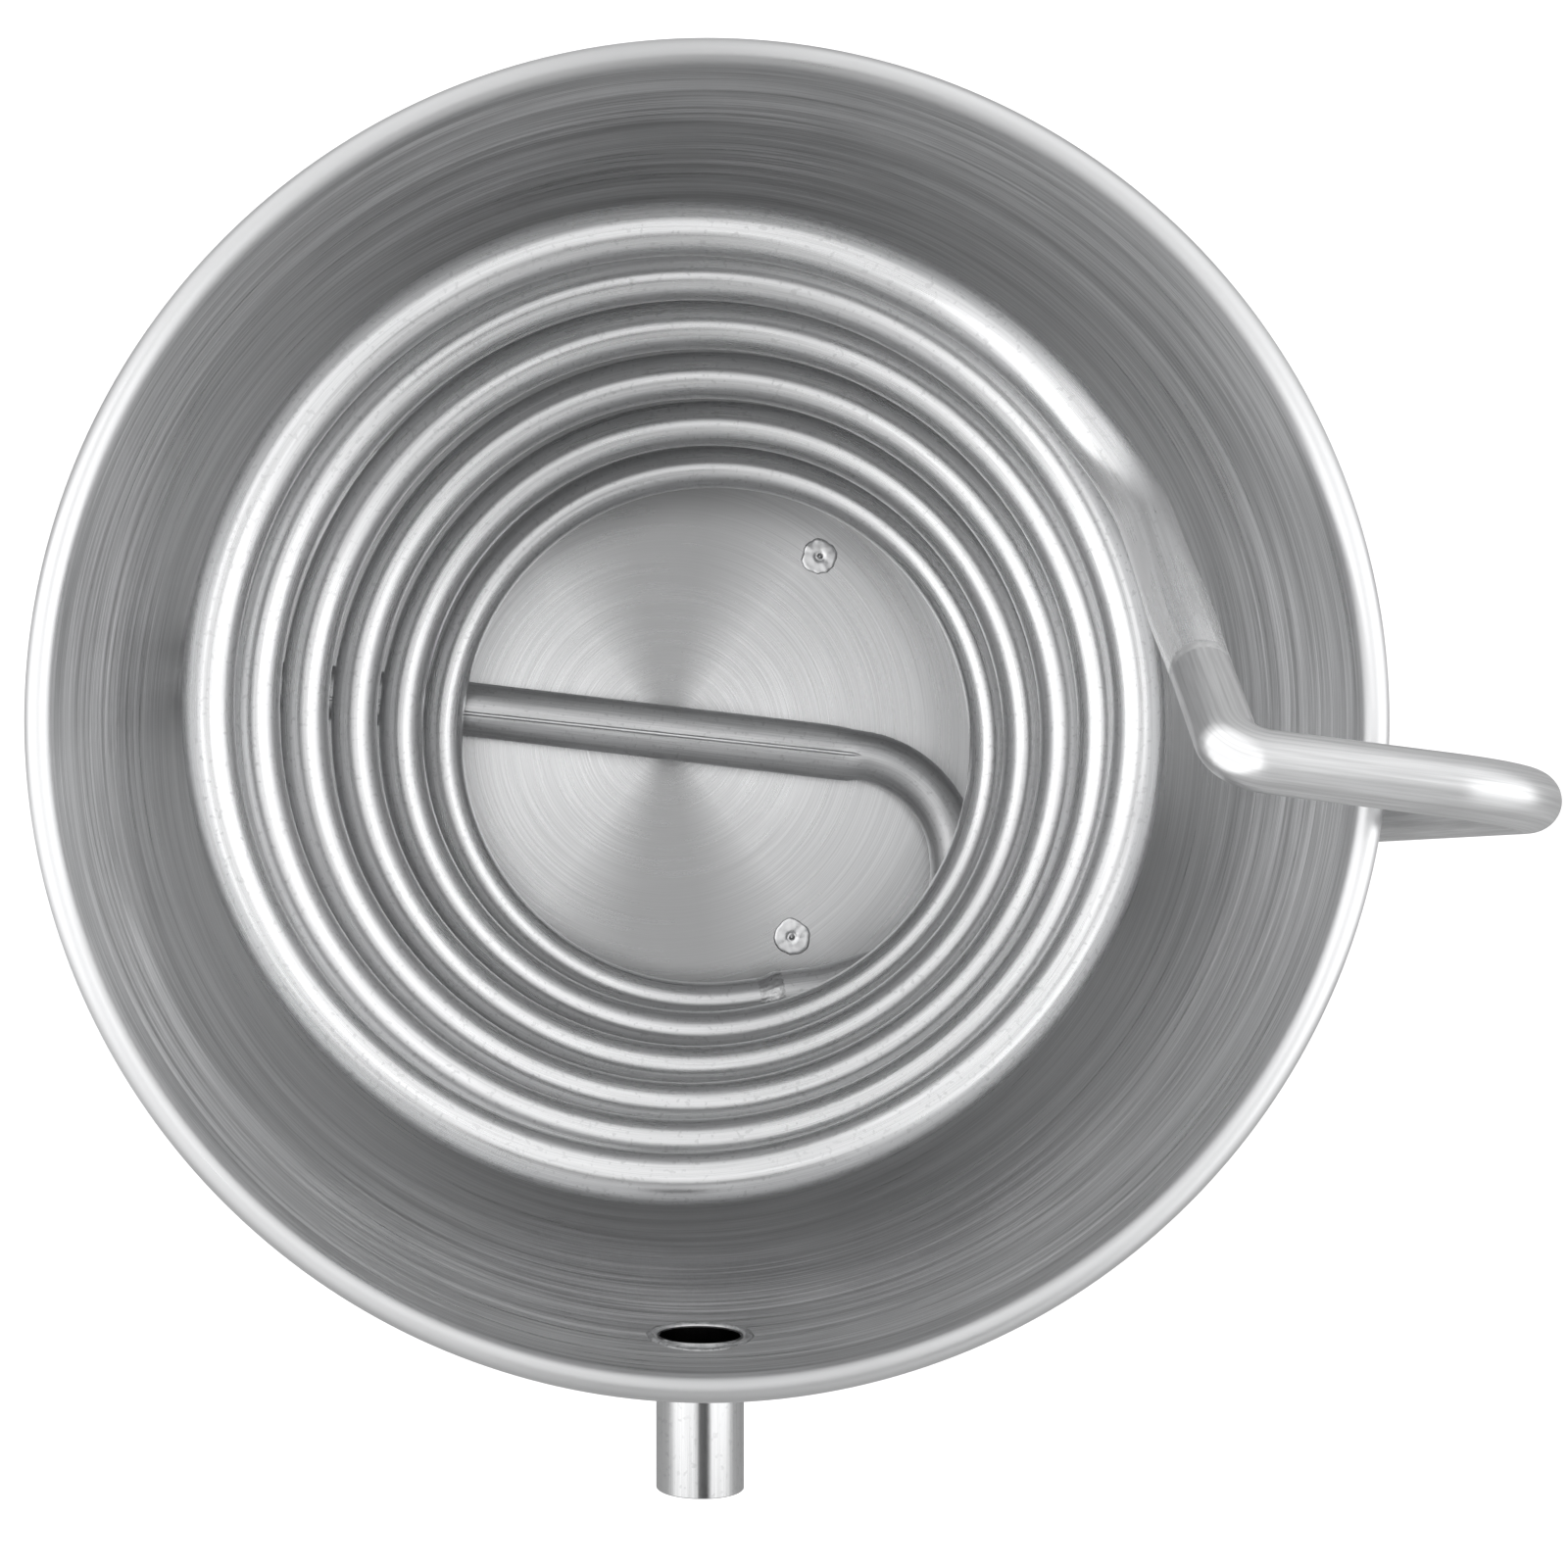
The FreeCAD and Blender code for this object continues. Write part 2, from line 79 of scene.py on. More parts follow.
class Ends(Enum):
    """How a rolled tube closes along its length."""

    LIPPED = "lipped"
    LOOPED = "looped"
    TAPERED = "tapered"


@dataclass(frozen=True)
class Layout:
    """Sizes that more than one sub-assembly needs, as the CAD part has them."""

    rim_radius: float = 118.0 * MM
    curl_radius: float = 2.45 * MM
    curl_end_deg: float = -115.0
    depth: float = 200.0 * MM
    taper: float = math.radians(3.0)
    sheet: float = 0.8 * MM
    corner_radius: float = 6.0 * MM
    foot_height: float = 15.0 * MM
    overflow_below_rim: float = 27.5 * MM
    outlet_above_floor: float = 9.0 * MM
    outlet_azimuth_deg: float = 173.25
    outlet_offset: float = 0.8 * MM
    coil_tube_radius: float = 5.0 * MM
    outlet_radius: float = 6.0 * MM
    overflow_radius: float = 8.0 * MM

    @property
    def floor_z(self) -> float:
        """Height of the floor's upper face."""
        return self.foot_height + self.sheet

    @property
    def rim_z(self) -> float:
        """Height of the rim's top."""
        return self.floor_z + self.depth

    @property
    def outlet_z(self) -> float:
        """Height of the outlet tube's centre line."""
        return self.floor_z + self.outlet_above_floor

    @property
    def overflow_z(self) -> float:
        """Height of the overflow tube's centre line."""
        return self.rim_z - self.overflow_below_rim

    @property
    def curl_centre(self) -> Pair:
        """Radius and height of the middle of the rim's curl."""
        return self.rim_radius - self.curl_radius, self.rim_z - self.curl_radius

    def wall_radius(self, z: float, outset: float = 0.0) -> float:
        """Radius of the wall's inner face at a height.

        Args:
            z: the height.
            outset: how far outside the inner face the wanted face lies.

        Returns:
            The distance from the bucket's axis.
        """
        touch_radius = self.curl_centre[0] - self.curl_radius * math.cos(self.taper)
        touch_z = self.curl_centre[1] + self.curl_radius * math.sin(self.taper)
        lean = (touch_z - z) * math.tan(self.taper)
        return touch_radius - lean + outset / math.cos(self.taper)

    @property
    def outlet_direction(self) -> Vector:
        """Direction of the outlet tube from the floor's middle to the wall."""
        return polar(1.0, self.outlet_azimuth_deg)

    @property
    def outlet_foot(self) -> Vector:
        """Point of the outlet tube's centre line nearest to the bucket's axis."""
        side = polar(1.0, self.outlet_azimuth_deg - 90)
        return side * self.outlet_offset + Vector((0, 0, self.outlet_z))


def polar(radius: float, azimuth_deg: float, z: float = 0.0) -> Vector:
    """Point at a distance and an azimuth from the bucket's axis."""
    angle = math.radians(azimuth_deg)
    return Vector((radius * math.cos(angle), radius * math.sin(angle), z))


def mixed(low: float, high: float, share: float) -> float:
    """Value between two others."""
    return low + (high - low) * share


def eased(low: float, high: float, value: float) -> float:
    """Smooth step from 0 at low to 1 at high."""
    share = min(1.0, max(0.0, (value - low) / (high - low)))
    return share * share * (3 - 2 * share)


LAYOUT = Layout()
ARC_STEPS = 6  # fewest steps of a bend


def rounded_route(corners: Sequence[Vector], radii: Sequence[float], step: float) -> list[Vector]:
    """Points along straight runs with a tangent arc at each inner corner.

    Args:
        corners: the run's ends and the corners between them.
        radii: one arc radius for each inner corner.
        step: greatest distance between points.

    Returns:
        The points, first corner to last.
    """
    points = [corners[0].copy()]
    for before, corner, after, radius in zip(corners, corners[1:], corners[2:], radii):
        arriving = (corner - before).normalized()
        leaving = (after - corner).normalized()
        turn = arriving.angle(leaving)
        reach = radius * math.tan(turn / 2)
        add_run(points, corner - arriving * reach, step)
        inward = (leaving - arriving * arriving.dot(leaving)).normalized()
        centre = corner - arriving * reach + inward * radius
        count = max(ARC_STEPS, math.ceil(radius * turn / step))
        for index in range(1, count + 1):
            angle = turn * index / count
            offset = arriving * math.sin(angle) - inward * math.cos(angle)
            points.append(centre + offset * radius)
    add_run(points, corners[-1], step)
    return points


def add_run(points: list[Vector], end: Vector, step: float) -> None:
    """Add evenly spaced points from a route's last point to end."""
    start = points[-1].copy()
    count = max(1, math.ceil((end - start).length / step))
    points.extend(start.lerp(end, index / count) for index in range(1, count + 1))


@dataclass
class Station:
    """One cross-section of a tube: its place, its two axes and how far along it lies."""

    centre: Vector
    side: Vector
    up: Vector
    along: float

    def spoke(self, angle: float) -> Vector:
        """Direction from the centre at an angle from the side axis."""
        return self.side * math.cos(angle) + self.up * math.sin(angle)


def stations_on(points: Sequence[Vector], first_up: Vector, level: bool) -> list[Station]:
    """Cross-sections on a route, without twist.

    Args:
        points: the route.
        first_up: direction that the first section's up axis leans to.
        level: whether every section leans to first_up, and not only the first.

    Returns:
        One station for each point.
    """
    made: list[Station] = []
    up = first_up
    along = 0.0
    for index, point in enumerate(points):
        ahead = points[min(index + 1, len(points) - 1)]
        behind = points[max(index - 1, 0)]
        tangent = (ahead - behind).normalized()
        lean = first_up if level else up
        up = (lean - tangent * lean.dot(tangent)).normalized()
        if index:
            along += (point - points[index - 1]).length
        made.append(Station(point, tangent.cross(up), up, along))
    return made


def finished(bm: BMesh, name: str, sharp_deg: float = 40.0) -> Piece:
    """Turn a bmesh into a smooth-shaded object at the origin.

    Args:
        bm: the mesh, which is freed.
        name: the object's name.
        sharp_deg: angle between faces past which their edge stays sharp.

    Returns:
        The object, linked to the scene.
    """
    bm.normal_update()
    limit = math.radians(sharp_deg)
    for face in bm.faces:
        face.smooth = True
    for edge in bm.edges:
        edge.smooth = len(edge.link_faces) != 2 or edge.calc_face_angle(0.0) < limit
    mesh = bpy.data.meshes.new(name)
    bm.to_mesh(mesh)
    bm.free()
    obj = bpy.data.objects.new(name, mesh)
    bpy.context.scene.collection.objects.link(obj)
    return obj


Shape = Callable[[Station, float], float]


def rolled_tube(
    name: str, stations: Sequence[Station], radii: Sequence[float], sides: int, ends: Ends,
    shape: Shape | None = None,
) -> Piece:
    """Roll a flat grid into a closed tube whose UV map is (metres along, turns round).

    Args:
        name: the object's name.
        stations: cross-sections, one for each row of the grid.
        radii: radius of each cross-section.
        sides: faces round the tube.
        ends: LIPPED joins the last section to the first, which lie at one end inside and
            outside the wall. LOOPED does the same for a ring that runs back into itself.
            TAPERED leaves both ends as they are, for radii that run down to nothing.
        shape: factor on the radius at a station and an angle.

    Returns:
        The tube.
    """
    bm = bmesh.new()
    uv_layer = bm.loops.layers.uv.new(UV_NAME)
    rows = len(stations) - (1 if ends is Ends.TAPERED else 0)
    bmesh.ops.create_grid(bm, x_segments=rows, y_segments=sides, size=0.5, calc_uvs=True)
    length = stations[-1].along
    for face in bm.faces:
        for loop in face.loops:
            row = round((loop.vert.co.x + 0.5) * rows)
            turn = loop.vert.co.y + 0.5
            along = stations[row % len(stations)].along
            if row == rows and ends is Ends.LOOPED:
                along = length + (stations[0].centre - stations[-1].centre).length
            loop[uv_layer].uv = (along, turn)
    for vert in bm.verts:
        row = round((vert.co.x + 0.5) * rows) % len(stations)
        angle = 2 * math.pi * (vert.co.y + 0.5)
        station = stations[row]
        radius = radii[row] * (shape(station, angle) if shape else 1.0)
        vert.co = station.centre + station.spoke(angle) * radius
    bmesh.ops.remove_doubles(bm, verts=bm.verts, dist=1e-6)
    bmesh.ops.recalc_face_normals(bm, faces=bm.faces)
    return finished(bm, name)


def walled(
    points: Sequence[Vector], outer: float, wall: float, first_up: Vector, level: bool
) -> tuple[list[Station], list[float]]:
    """Sections of an open-ended tube: out along its outer face, round a lip and back inside.

    Args:
        points: the tube's centre line.
        outer: outer radius.
        wall: wall thickness.
        first_up: direction that the sections' up axes lean to.
        level: whether every section leans to it.

    Returns:
        The stations and their radii.
    """
    lip = wall * 0.3
    first, *middle, last = stations_on(points, first_up, level)
    near, far = (
        Station(end.centre + (inner - end.centre).normalized() * lip, end.side, end.up, end.along)
        for end, inner in ((first, points[1]), (last, points[-2]))
    )
    bore = outer - wall
    rows = [(first, outer - lip), (near, outer)]
    rows += [(station, outer) for station in middle]
    rows += [(far, outer), (last, outer - lip), (last, bore + lip), (far, bore)]
    rows += [(station, bore) for station in reversed(middle)]
    rows += [(near, bore), (first, bore + lip)]
    return [station for station, _ in rows], [radius for _, radius in rows]


def arc_profile(
    centre: Pair, radius: float, start_deg: float, end_deg: float, count: int
) -> list[Pair]:
    """Points of an arc in a lathe profile, as (radius, height), both ends included."""
    made = []
    for index in range(count + 1):
        angle = math.radians(mixed(start_deg, end_deg, index / count))
        made.append((centre[0] + radius * math.cos(angle), centre[1] + radius * math.sin(angle)))
    return made


def run_profile(start: Pair, end: Pair, count: int) -> list[Pair]:
    """Points inside a straight stretch of a lathe profile, neither end included."""
    shares = [index / count for index in range(1, count)]
    return [(mixed(start[0], end[0], share), mixed(start[1], end[1], share)) for share in shares]


def lathed(profile: Sequence[Pair], steps: int) -> BMesh:
    """Spin a profile about the Z axis into a closed shell.

    Args:
        profile: (radius, height) points, whose ends are joined.
        steps: faces round the axis.

    Returns:
        The mesh, with its normals outwards.
    """
    bm = bmesh.new()
    verts = [bm.verts.new((radius, 0.0, height)) for radius, height in profile]
    edges = [bm.edges.new(pair) for pair in zip(verts, verts[1:])]
    if profile[0][0] > 0 or profile[-1][0] > 0:
        edges.append(bm.edges.new((verts[-1], verts[0])))
    bmesh.ops.spin(
        bm, geom=verts + edges, cent=(0, 0, 0), axis=(0, 0, 1), dvec=(0, 0, 0),
        angle=2 * math.pi, steps=steps, use_merge=True,
    )
    bmesh.ops.remove_doubles(bm, verts=bm.verts, dist=1e-7)
    bmesh.ops.recalc_face_normals(bm, faces=bm.faces)
    return bm


def bar(radius: float, middle: Vector, reach: Vector, sides: int = 96) -> Piece:
    """Closed bar that reaches both ways from its middle, used to cut a hole and then removed."""
    bm = bmesh.new()
    turned = reach.to_track_quat("Z", "Y").to_matrix().to_4x4()
    bmesh.ops.create_cone(
        bm, cap_ends=True, segments=sides, radius1=radius, radius2=radius,
        depth=2 * reach.length, matrix=Matrix.Translation(middle) @ turned,
    )
    return finished(bm, "cutting_bar")


def cut_away(obj: Piece, cutters: Sequence[Piece]) -> None:
    """Cut bars out of an object's mesh, and delete the bars."""
    for cutter in cutters:
        modifier = obj.modifiers.new(cutter.name, "BOOLEAN")
        modifier.operation = "DIFFERENCE"
        modifier.solver = "EXACT"
        modifier.object = cutter
    bpy.context.view_layer.update()
    graph = bpy.context.evaluated_depsgraph_get()
    cut = bpy.data.meshes.new_from_object(obj.evaluated_get(graph))
    obj.modifiers.clear()
    old, obj.data = obj.data, cut
    bpy.data.meshes.remove(old)
    for cutter in cutters:
        bpy.data.objects.remove(cutter)


def placed(obj: Piece, slot: Slot, finish: Material, *nodes: str) -> None:
    """Dress a new piece, put it on the body and hide the CAD nodes that it stands for."""
    obj.data.materials.clear()
    obj.data.materials.append(finish)
    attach(obj, BODY)
    if nodes:
        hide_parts(*nodes)
    log.info("%s: %d faces, stands for %s", obj.name, len(obj.data.polygons), nodes or "nothing")


class Board:
    """A node tree with short calls that add nodes and join them."""

    def __init__(self, tree: NodeTree) -> None:
        """Keep the tree that nodes are added to."""
        self.tree = tree

    def add(self, kind: str, *values: object, **named: object) -> Node:
        """Add a node.

        Args:
            kind: the node's type, without its ShaderNode prefix.
            values: values or sockets for the inputs, in order; None leaves one alone.
            named: the node's own settings, or inputs by name with underscores for spaces.

        Returns:
            The node.
        """
        node = self.tree.nodes.new("ShaderNode" + kind)
        for name, value in named.items():
            if hasattr(node, name):
                setattr(node, name, value)
            else:
                self.feed(node.inputs[name.replace("_", " ")], value)
        for socket, value in zip(node.inputs, values):
            if value is not None:
                self.feed(socket, value)
        return node

    def feed(self, socket: Socket, value: object) -> None:
        """Join a socket to an input, or set the input's value."""
        if isinstance(value, Socket):
            self.tree.links.new(value, socket)
        else:
            socket.default_value = value

    def math(self, operation: str, *values: object) -> Socket:
        """Result of a Math node."""
        return self.add("Math", *values, operation=operation).outputs[0]

    def total(self, *shares: tuple[object, float]) -> Socket:
        """Sum of values, each times its share."""
        (value, share), *others = shares
        made = self.math("MULTIPLY", value, share)
        for value, share in others:
            made = self.math("MULTIPLY_ADD", value, share, made)
        return made

    def vector(self, operation: str, *values: object) -> Socket:
        """Result of a Vector Math node."""
        outputs = self.add("VectorMath", *values, operation=operation).outputs
        return outputs["Value" if operation == "LENGTH" else "Vector"]

    def axes(self, vector: Socket) -> Sequence[Socket]:
        """The three parts of a vector."""
        return self.add("SeparateXYZ", vector).outputs

    def place(self) -> Socket:
        """Object coordinates."""
        return self.add("TexCoord").outputs["Object"]

    def on_tube(self) -> Sequence[Socket]:
        """Metres along a rolled tube, and the angle round it."""
        along, turns, _ = self.axes(self.add("UVMap", uv_map=UV_NAME).outputs[0])
        return along, self.math("MULTIPLY", turns, 2 * math.pi)

    def noise(self, vector: object, scale: object, detail: float, roughness: float) -> Socket:
        """Value of a noise texture."""
        named = {"Vector": vector, "Scale": scale, "Detail": detail, "Roughness": roughness}
        return self.add("TexNoise", **named).outputs["Fac"]

    def spread(self, value: object, *limits: float) -> Socket:
        """Value moved from one range to another and kept inside it: from low, high to low, high."""
        return self.add("MapRange", value, *limits, clamp=True).outputs[0]

    def blend(self, share: object, low: object, high: object) -> Socket:
        """Mix of two colours."""
        node = self.add("Mix", data_type="RGBA")
        for index, value in ((0, share), (6, low), (7, high)):
            self.feed(node.inputs[index], value)
        return node.outputs[2]

    def show(self, kind: str, shader: Node) -> None:
        """Join a shader to the output of a Material or a World."""
        self.feed(self.add("Output" + kind).inputs["Surface"], shader.outputs[0])


def grey(level: float) -> tuple[float, float, float, float]:
    """Neutral steel colour, a little cool."""
    return level * 0.995, level, level * 1.008, 1.0


def cleared(block: Material | bpy.types.World) -> Board:
    """Board of a new material or world, without the nodes it comes with."""
    block.use_nodes = True
    block.node_tree.nodes.clear()
    return Board(block.node_tree)


def new_group(
    name: str, inputs: dict[str, float], *outputs: str
) -> tuple[Board, bpy.types.NodeOutputs, bpy.types.NodeInputs]:
    """Empty node group with named float sockets.

    Args:
        name: the group's name.
        inputs: its inputs and their defaults.
        outputs: its outputs.

    Returns:
        The group's board, the sockets that give its inputs and those that take its outputs.
    """
    group = bpy.data.node_groups.new(name, "ShaderNodeTree")
    for title, value in inputs.items():
        socket = group.interface.new_socket(title, in_out="INPUT", socket_type="NodeSocketFloat")
        socket.default_value = value
    for title in outputs:
        group.interface.new_socket(title, in_out="OUTPUT", socket_type="NodeSocketFloat")
    entry = group.nodes.new("NodeGroupInput")
    leaving = group.nodes.new("NodeGroupOutput")
    return Board(group), entry.outputs, leaving.inputs


class Effects:
    """Node groups that several finishes share, each built once."""

    def __init__(self) -> None:
        """Build the groups."""
        self.ring_brush = self._ring_brush()
        self.draw_lines = self._draw_lines()
        self.handling = self._handling()

    @staticmethod
    def _ring_brush() -> NodeTree:
        """Streaks that run round the Z axis, on walls and floors alike."""
        defaults = {"Width": 0.5 * MM, "Arc": 3.0, "Shift": 0.0}
        board, given, made = new_group("ring_brush", defaults, "Streak")
        place = board.place()
        flat = board.vector("MULTIPLY", place, (1.0, 1.0, 0.0))
        spoke = board.vector("NORMALIZE", flat)
        long_way = board.vector("SCALE", spoke, None, None, given["Arc"])
        across = board.math("ADD", board.vector("LENGTH", flat), board.axes(place)[2])
        across = board.math("DIVIDE", across, given["Width"])
        across = board.math("ADD", across, given["Shift"])
        rise = board.add("CombineXYZ", 0.0, 0.0, across).outputs[0]
        streak = board.noise(board.vector("ADD", long_way, rise), 1.0, 2.0, 0.55)
        board.feed(made["Streak"], streak)
        return board.tree

    @staticmethod
    def _draw_lines() -> NodeTree:
        """Lines that run along a tube, from its UV map of metres along and turns round."""
        defaults = {"Length": 60 * MM, "Lines": 8.0, "Shift": 0.0}
        board, given, made = new_group("draw_lines", defaults, "Line")
        along, angle = board.on_tube()
        along = board.math("DIVIDE", along, given["Length"])
        along = board.math("ADD", along, given["Shift"])
        across = board.math("MULTIPLY", board.math("COSINE", angle), given["Lines"])
        rise = board.math("MULTIPLY", board.math("SINE", angle), given["Lines"])
        vector = board.add("CombineXYZ", across, rise, along).outputs[0]
        board.feed(made["Line"], board.noise(vector, 1.0, 3.0, 0.6))
        return board.tree

    @staticmethod
    def _handling() -> NodeTree:
        """Soft smudges from hands and cleaning, and fine specks."""
        defaults = {"Scale": 25.0, "Specks": 900.0}
        board, given, made = new_group("handling", defaults, "Smudge", "Speck")
        place = board.place()
        board.feed(made["Smudge"], board.noise(place, given["Scale"], 4.0, 0.6))
        speck = board.noise(place, given["Specks"], 1.0, 0.5)
        board.feed(made["Speck"], board.spread(speck, 0.62, 0.72, 0.0, 1.0))
        return board.tree


@dataclass(frozen=True)
class Steel:
    """Stainless finish whose lines follow the surface."""

    name: str
    dark: float
    light: float
    smooth: float
    rough: float
    relief: float
    anisotropic: float = 0.0
    metal: float = 1.0
    # Tone of the painted shade in a tube's bore
    bore_shade_tone: float = 0.10

    def _start(self, **tangent: str) -> tuple[Material, Board, Node]:
        """New material, its board and its Principled shader with this finish's constant values."""
        material = bpy.data.materials.new(self.name)
        board = cleared(material)
        shader = board.add(
            "BsdfPrincipled", Metallic=self.metal, Anisotropic=self.anisotropic,
            Anisotropic_Rotation=ACROSS if tangent else 0.0,
        )
        if tangent:
            board.feed(shader.inputs["Tangent"], board.add("Tangent", **tangent).outputs[0])
        board.show("Material", shader)
        return material, board, shader

    def _dress(
        self, board: Board, shader: Node, tone: Socket,
        gloss: Socket, height: Socket,
        scale: Socket | None = None,
    ) -> None:
        """Feed masks into colour, roughness and relief, with painted shade in a tube's bore where a mask
        is given.
        """
        colour = board.blend(tone, grey(self.dark), grey(self.light))
        # Painted shade: the scale mask darkens the colour inside a tube's bore
        if scale is not None:
            colour = board.blend(scale, colour, grey(self.bore_shade_tone))
        board.feed(shader.inputs["Base Color"], colour)
        roughness = board.spread(gloss, 0.0, 1.0, self.smooth, self.rough)
        board.feed(shader.inputs["Roughness"], roughness)
        bump = board.add("Bump", Strength=1.0, Distance=self.relief, Height=height)
        board.feed(shader.inputs["Normal"], bump.outputs[0])


# Each layer of brushing as its width, its features in a radian and its shift: three for the wall,
# and hairs and threads for the floor
STREAKS = (
    (0.40 * MM, 3.0, 0.0),
    (1.5 * MM, 1.6, 40.0),
    (6.0 * MM, 0.8, 90.0),
    (0.15 * MM, 1.1, 150.0),
    (0.35 * MM, 0.9, 210.0),
)


@dataclass(frozen=True)
class RingBrushed(Steel):
    """Steel brushed round the bucket's axis, with finer lines on its floor than on its wall."""

    # Painted highlight fans on the floor: its tone is darkened in sectors towards ±Y, from and to these
    # shares, down to this tone
    fan_from: float = 0.80
    fan_to: float = 0.985
    fan_shade_tone: float = 0.22
    bead_tone: float = 0.72
    # Tone that the painted shade leaves at the bottom of the wall
    deep_shade_tone: float = 0.5

    def build(self, effects: Effects) -> Material:
        """Make the material."""
        material, board, shader = self._start(direction_type="RADIAL", axis="Z")
        fine, middle, broad, hair, thread = (
            board.add("Group", node_tree=effects.ring_brush, Width=width, Arc=arc, Shift=shift).outputs[0]
            for width, arc, shift in STREAKS
        )
        place = board.place()
        height_up = board.axes(place)[2]
        spoke = board.vector("NORMALIZE", board.vector("MULTIPLY", place, (1.0, 1.0, 0.0)))
        northing = board.math("ABSOLUTE", board.axes(spoke)[1])
        # Painted highlight: darker floor sectors towards ±Y stand in for the fans of the ring brushing's
        # highlight
        painted_fan_shade = board.spread(northing, self.fan_from, self.fan_to, 1.0, self.fan_shade_tone)
        rim, floor = LAYOUT.rim_z, LAYOUT.floor_z
        bead = board.spread(height_up, rim - 3.4 * MM, rim - 2.2 * MM, 0.0, 1.0)
        flat = board.spread(height_up, floor + 1 * MM, floor + 6 * MM, 1.0, 0.0)
        # Painted shade: the wall's tone darkens towards the bottom of the bucket
        shaded = board.spread(height_up, rim - 120 * MM, rim - 50 * MM, self.deep_shade_tone, 1.0)
        hands = board.add("Group", node_tree=effects.handling, Scale=14.0)

        wall = board.total((fine, 0.45), (middle, 0.35), (broad, 0.35))
        wall = board.math("MULTIPLY", board.spread(wall, 0.47, 0.68, 0.0, 0.8), shaded)
        plain = board.math("SUBTRACT", self.bead_tone, wall)
        wall = board.math("MULTIPLY_ADD", bead, plain, wall)
        base = board.total((thread, 0.35), (hair, 0.65))
        # Floor streaks, darkened in the painted highlight sectors
        base = board.math("MULTIPLY", board.spread(base, 0.36, 0.66, 0.50, 1.0), painted_fan_shade)
        tone = board.math("MULTIPLY_ADD", flat, board.math("SUBTRACT", base, wall), wall)

        gloss = board.total((middle, 0.5), (hands.outputs["Smudge"], 0.5))
        gloss = board.spread(gloss, 0.35, 0.65, 0.0, 1.0)
        gloss = board.math("MULTIPLY", gloss, board.spread(flat, 0.0, 1.0, 1.0, 0.2))
        height = board.total((middle, 0.4), (fine, 0.6))
        height = board.math("MULTIPLY", height, board.spread(flat, 0.0, 1.0, 1.0, 0.04))
        height = board.math("MULTIPLY", height, board.spread(bead, 0.0, 1.0, 1.0, 0.1))
        self._dress(board, shader, tone, gloss, height)
        return material


@dataclass(frozen=True)
class DrawnTube(Steel):
    """Tube polished along its length."""

    lines: float = 8.0
    length: float = 60 * MM
    worn: float = 0.3
    # Painted highlight: heights between which the tube is lighter and less metallic, and its metallic
    # value there
    highlight_between: Pair | None = None
    highlight_metal: float = 0.25
    # Painted shade inside the bore: its line's height and radius, and how soft its edge is
    shaded_bore_line: Pair | None = None
    bore_shade_edge: float = 0.25 * MM

    def build(self, effects: Effects) -> Material:
        """Make the material."""
        material, board, shader = self._start(direction_type="UV_MAP", uv_map=UV_NAME)
        broad, fine = (
            board.add(
                "Group", node_tree=effects.draw_lines, Length=self.length * stretch,
                Lines=self.lines * count, Shift=shift,
            ).outputs[0]
            for stretch, count, shift in ((1.0, 1.0, 0.0), (0.35, 3.0, 17.0))
        )
        hands = board.add("Group", node_tree=effects.handling)
        tone = board.total((broad, 0.5), (fine, 0.5), (hands.outputs["Speck"], -self.worn))
        tone = board.spread(tone, 0.38, 0.62, 0.0, 1.0)
        # Painted highlight on the riser's upper side: a lower metallic value and a lighter tone
        if self.highlight_between:
            painted_highlight = self._painted_highlight(board)
            metal = board.spread(painted_highlight, 0.0, 1.0, self.metal, self.highlight_metal)
            board.feed(shader.inputs["Metallic"], metal)
            tone = board.math("MAXIMUM", tone, painted_highlight)
        gloss = board.total((broad, 0.4), (hands.outputs["Smudge"], 0.6))
        gloss = board.spread(gloss, 0.35, 0.65, 0.0, 1.0)
        height = board.total((broad, 0.6), (fine, 0.4))
        # Painted shade inside the bore, where a bore line is given
        scale = self._bore_shade(board) if self.shaded_bore_line else None
        self._dress(board, shader, tone, gloss, height, scale)
        return material

    def _painted_highlight(self, board: Board) -> Socket:
        """Painted highlight on the riser: lighter and less metallic above a height, and most on its upper
        side.
        """
        height_up = board.axes(board.place())[2]
        raised = board.spread(height_up, *self.highlight_between, 0.0, 1.0)
        upward = board.math("SINE", board.on_tube()[1])
        return board.math("MULTIPLY", raised, board.spread(upward, 0.1, 0.95, 0.3, 1.0))

    def _bore_shade(self, board: Board) -> Socket:
        """Painted shade inside a tube that runs along Y, by its height and its bore's radius."""
        line_z, radius = self.shaded_bore_line
        aside = board.vector("SUBTRACT", board.place(), (0.0, 0.0, line_z))
        aside = board.vector("LENGTH", board.vector("MULTIPLY", aside, (1.0, 0.0, 1.0)))
        return board.spread(aside, radius, radius + self.bore_shade_edge, 1.0, 0.0)


@dataclass(frozen=True)
class WeldMetal(Steel):
    """Weld that has been cleaned but not ground."""

    def build(self, effects: Effects) -> Material:
        """Make the material."""
        material, board, shader = self._start()
        hands = board.add("Group", node_tree=effects.handling, Scale=420.0, Specks=1500.0)
        ripple = board.noise(board.place(), 900.0, 3.0, 0.6)
        tone = board.total((hands.outputs["Smudge"], 1.0), (hands.outputs["Speck"], -0.4))
        tone = board.spread(tone, 0.3, 0.65, 0.0, 1.0)
        self._dress(board, shader, tone, ripple, ripple)
        return material


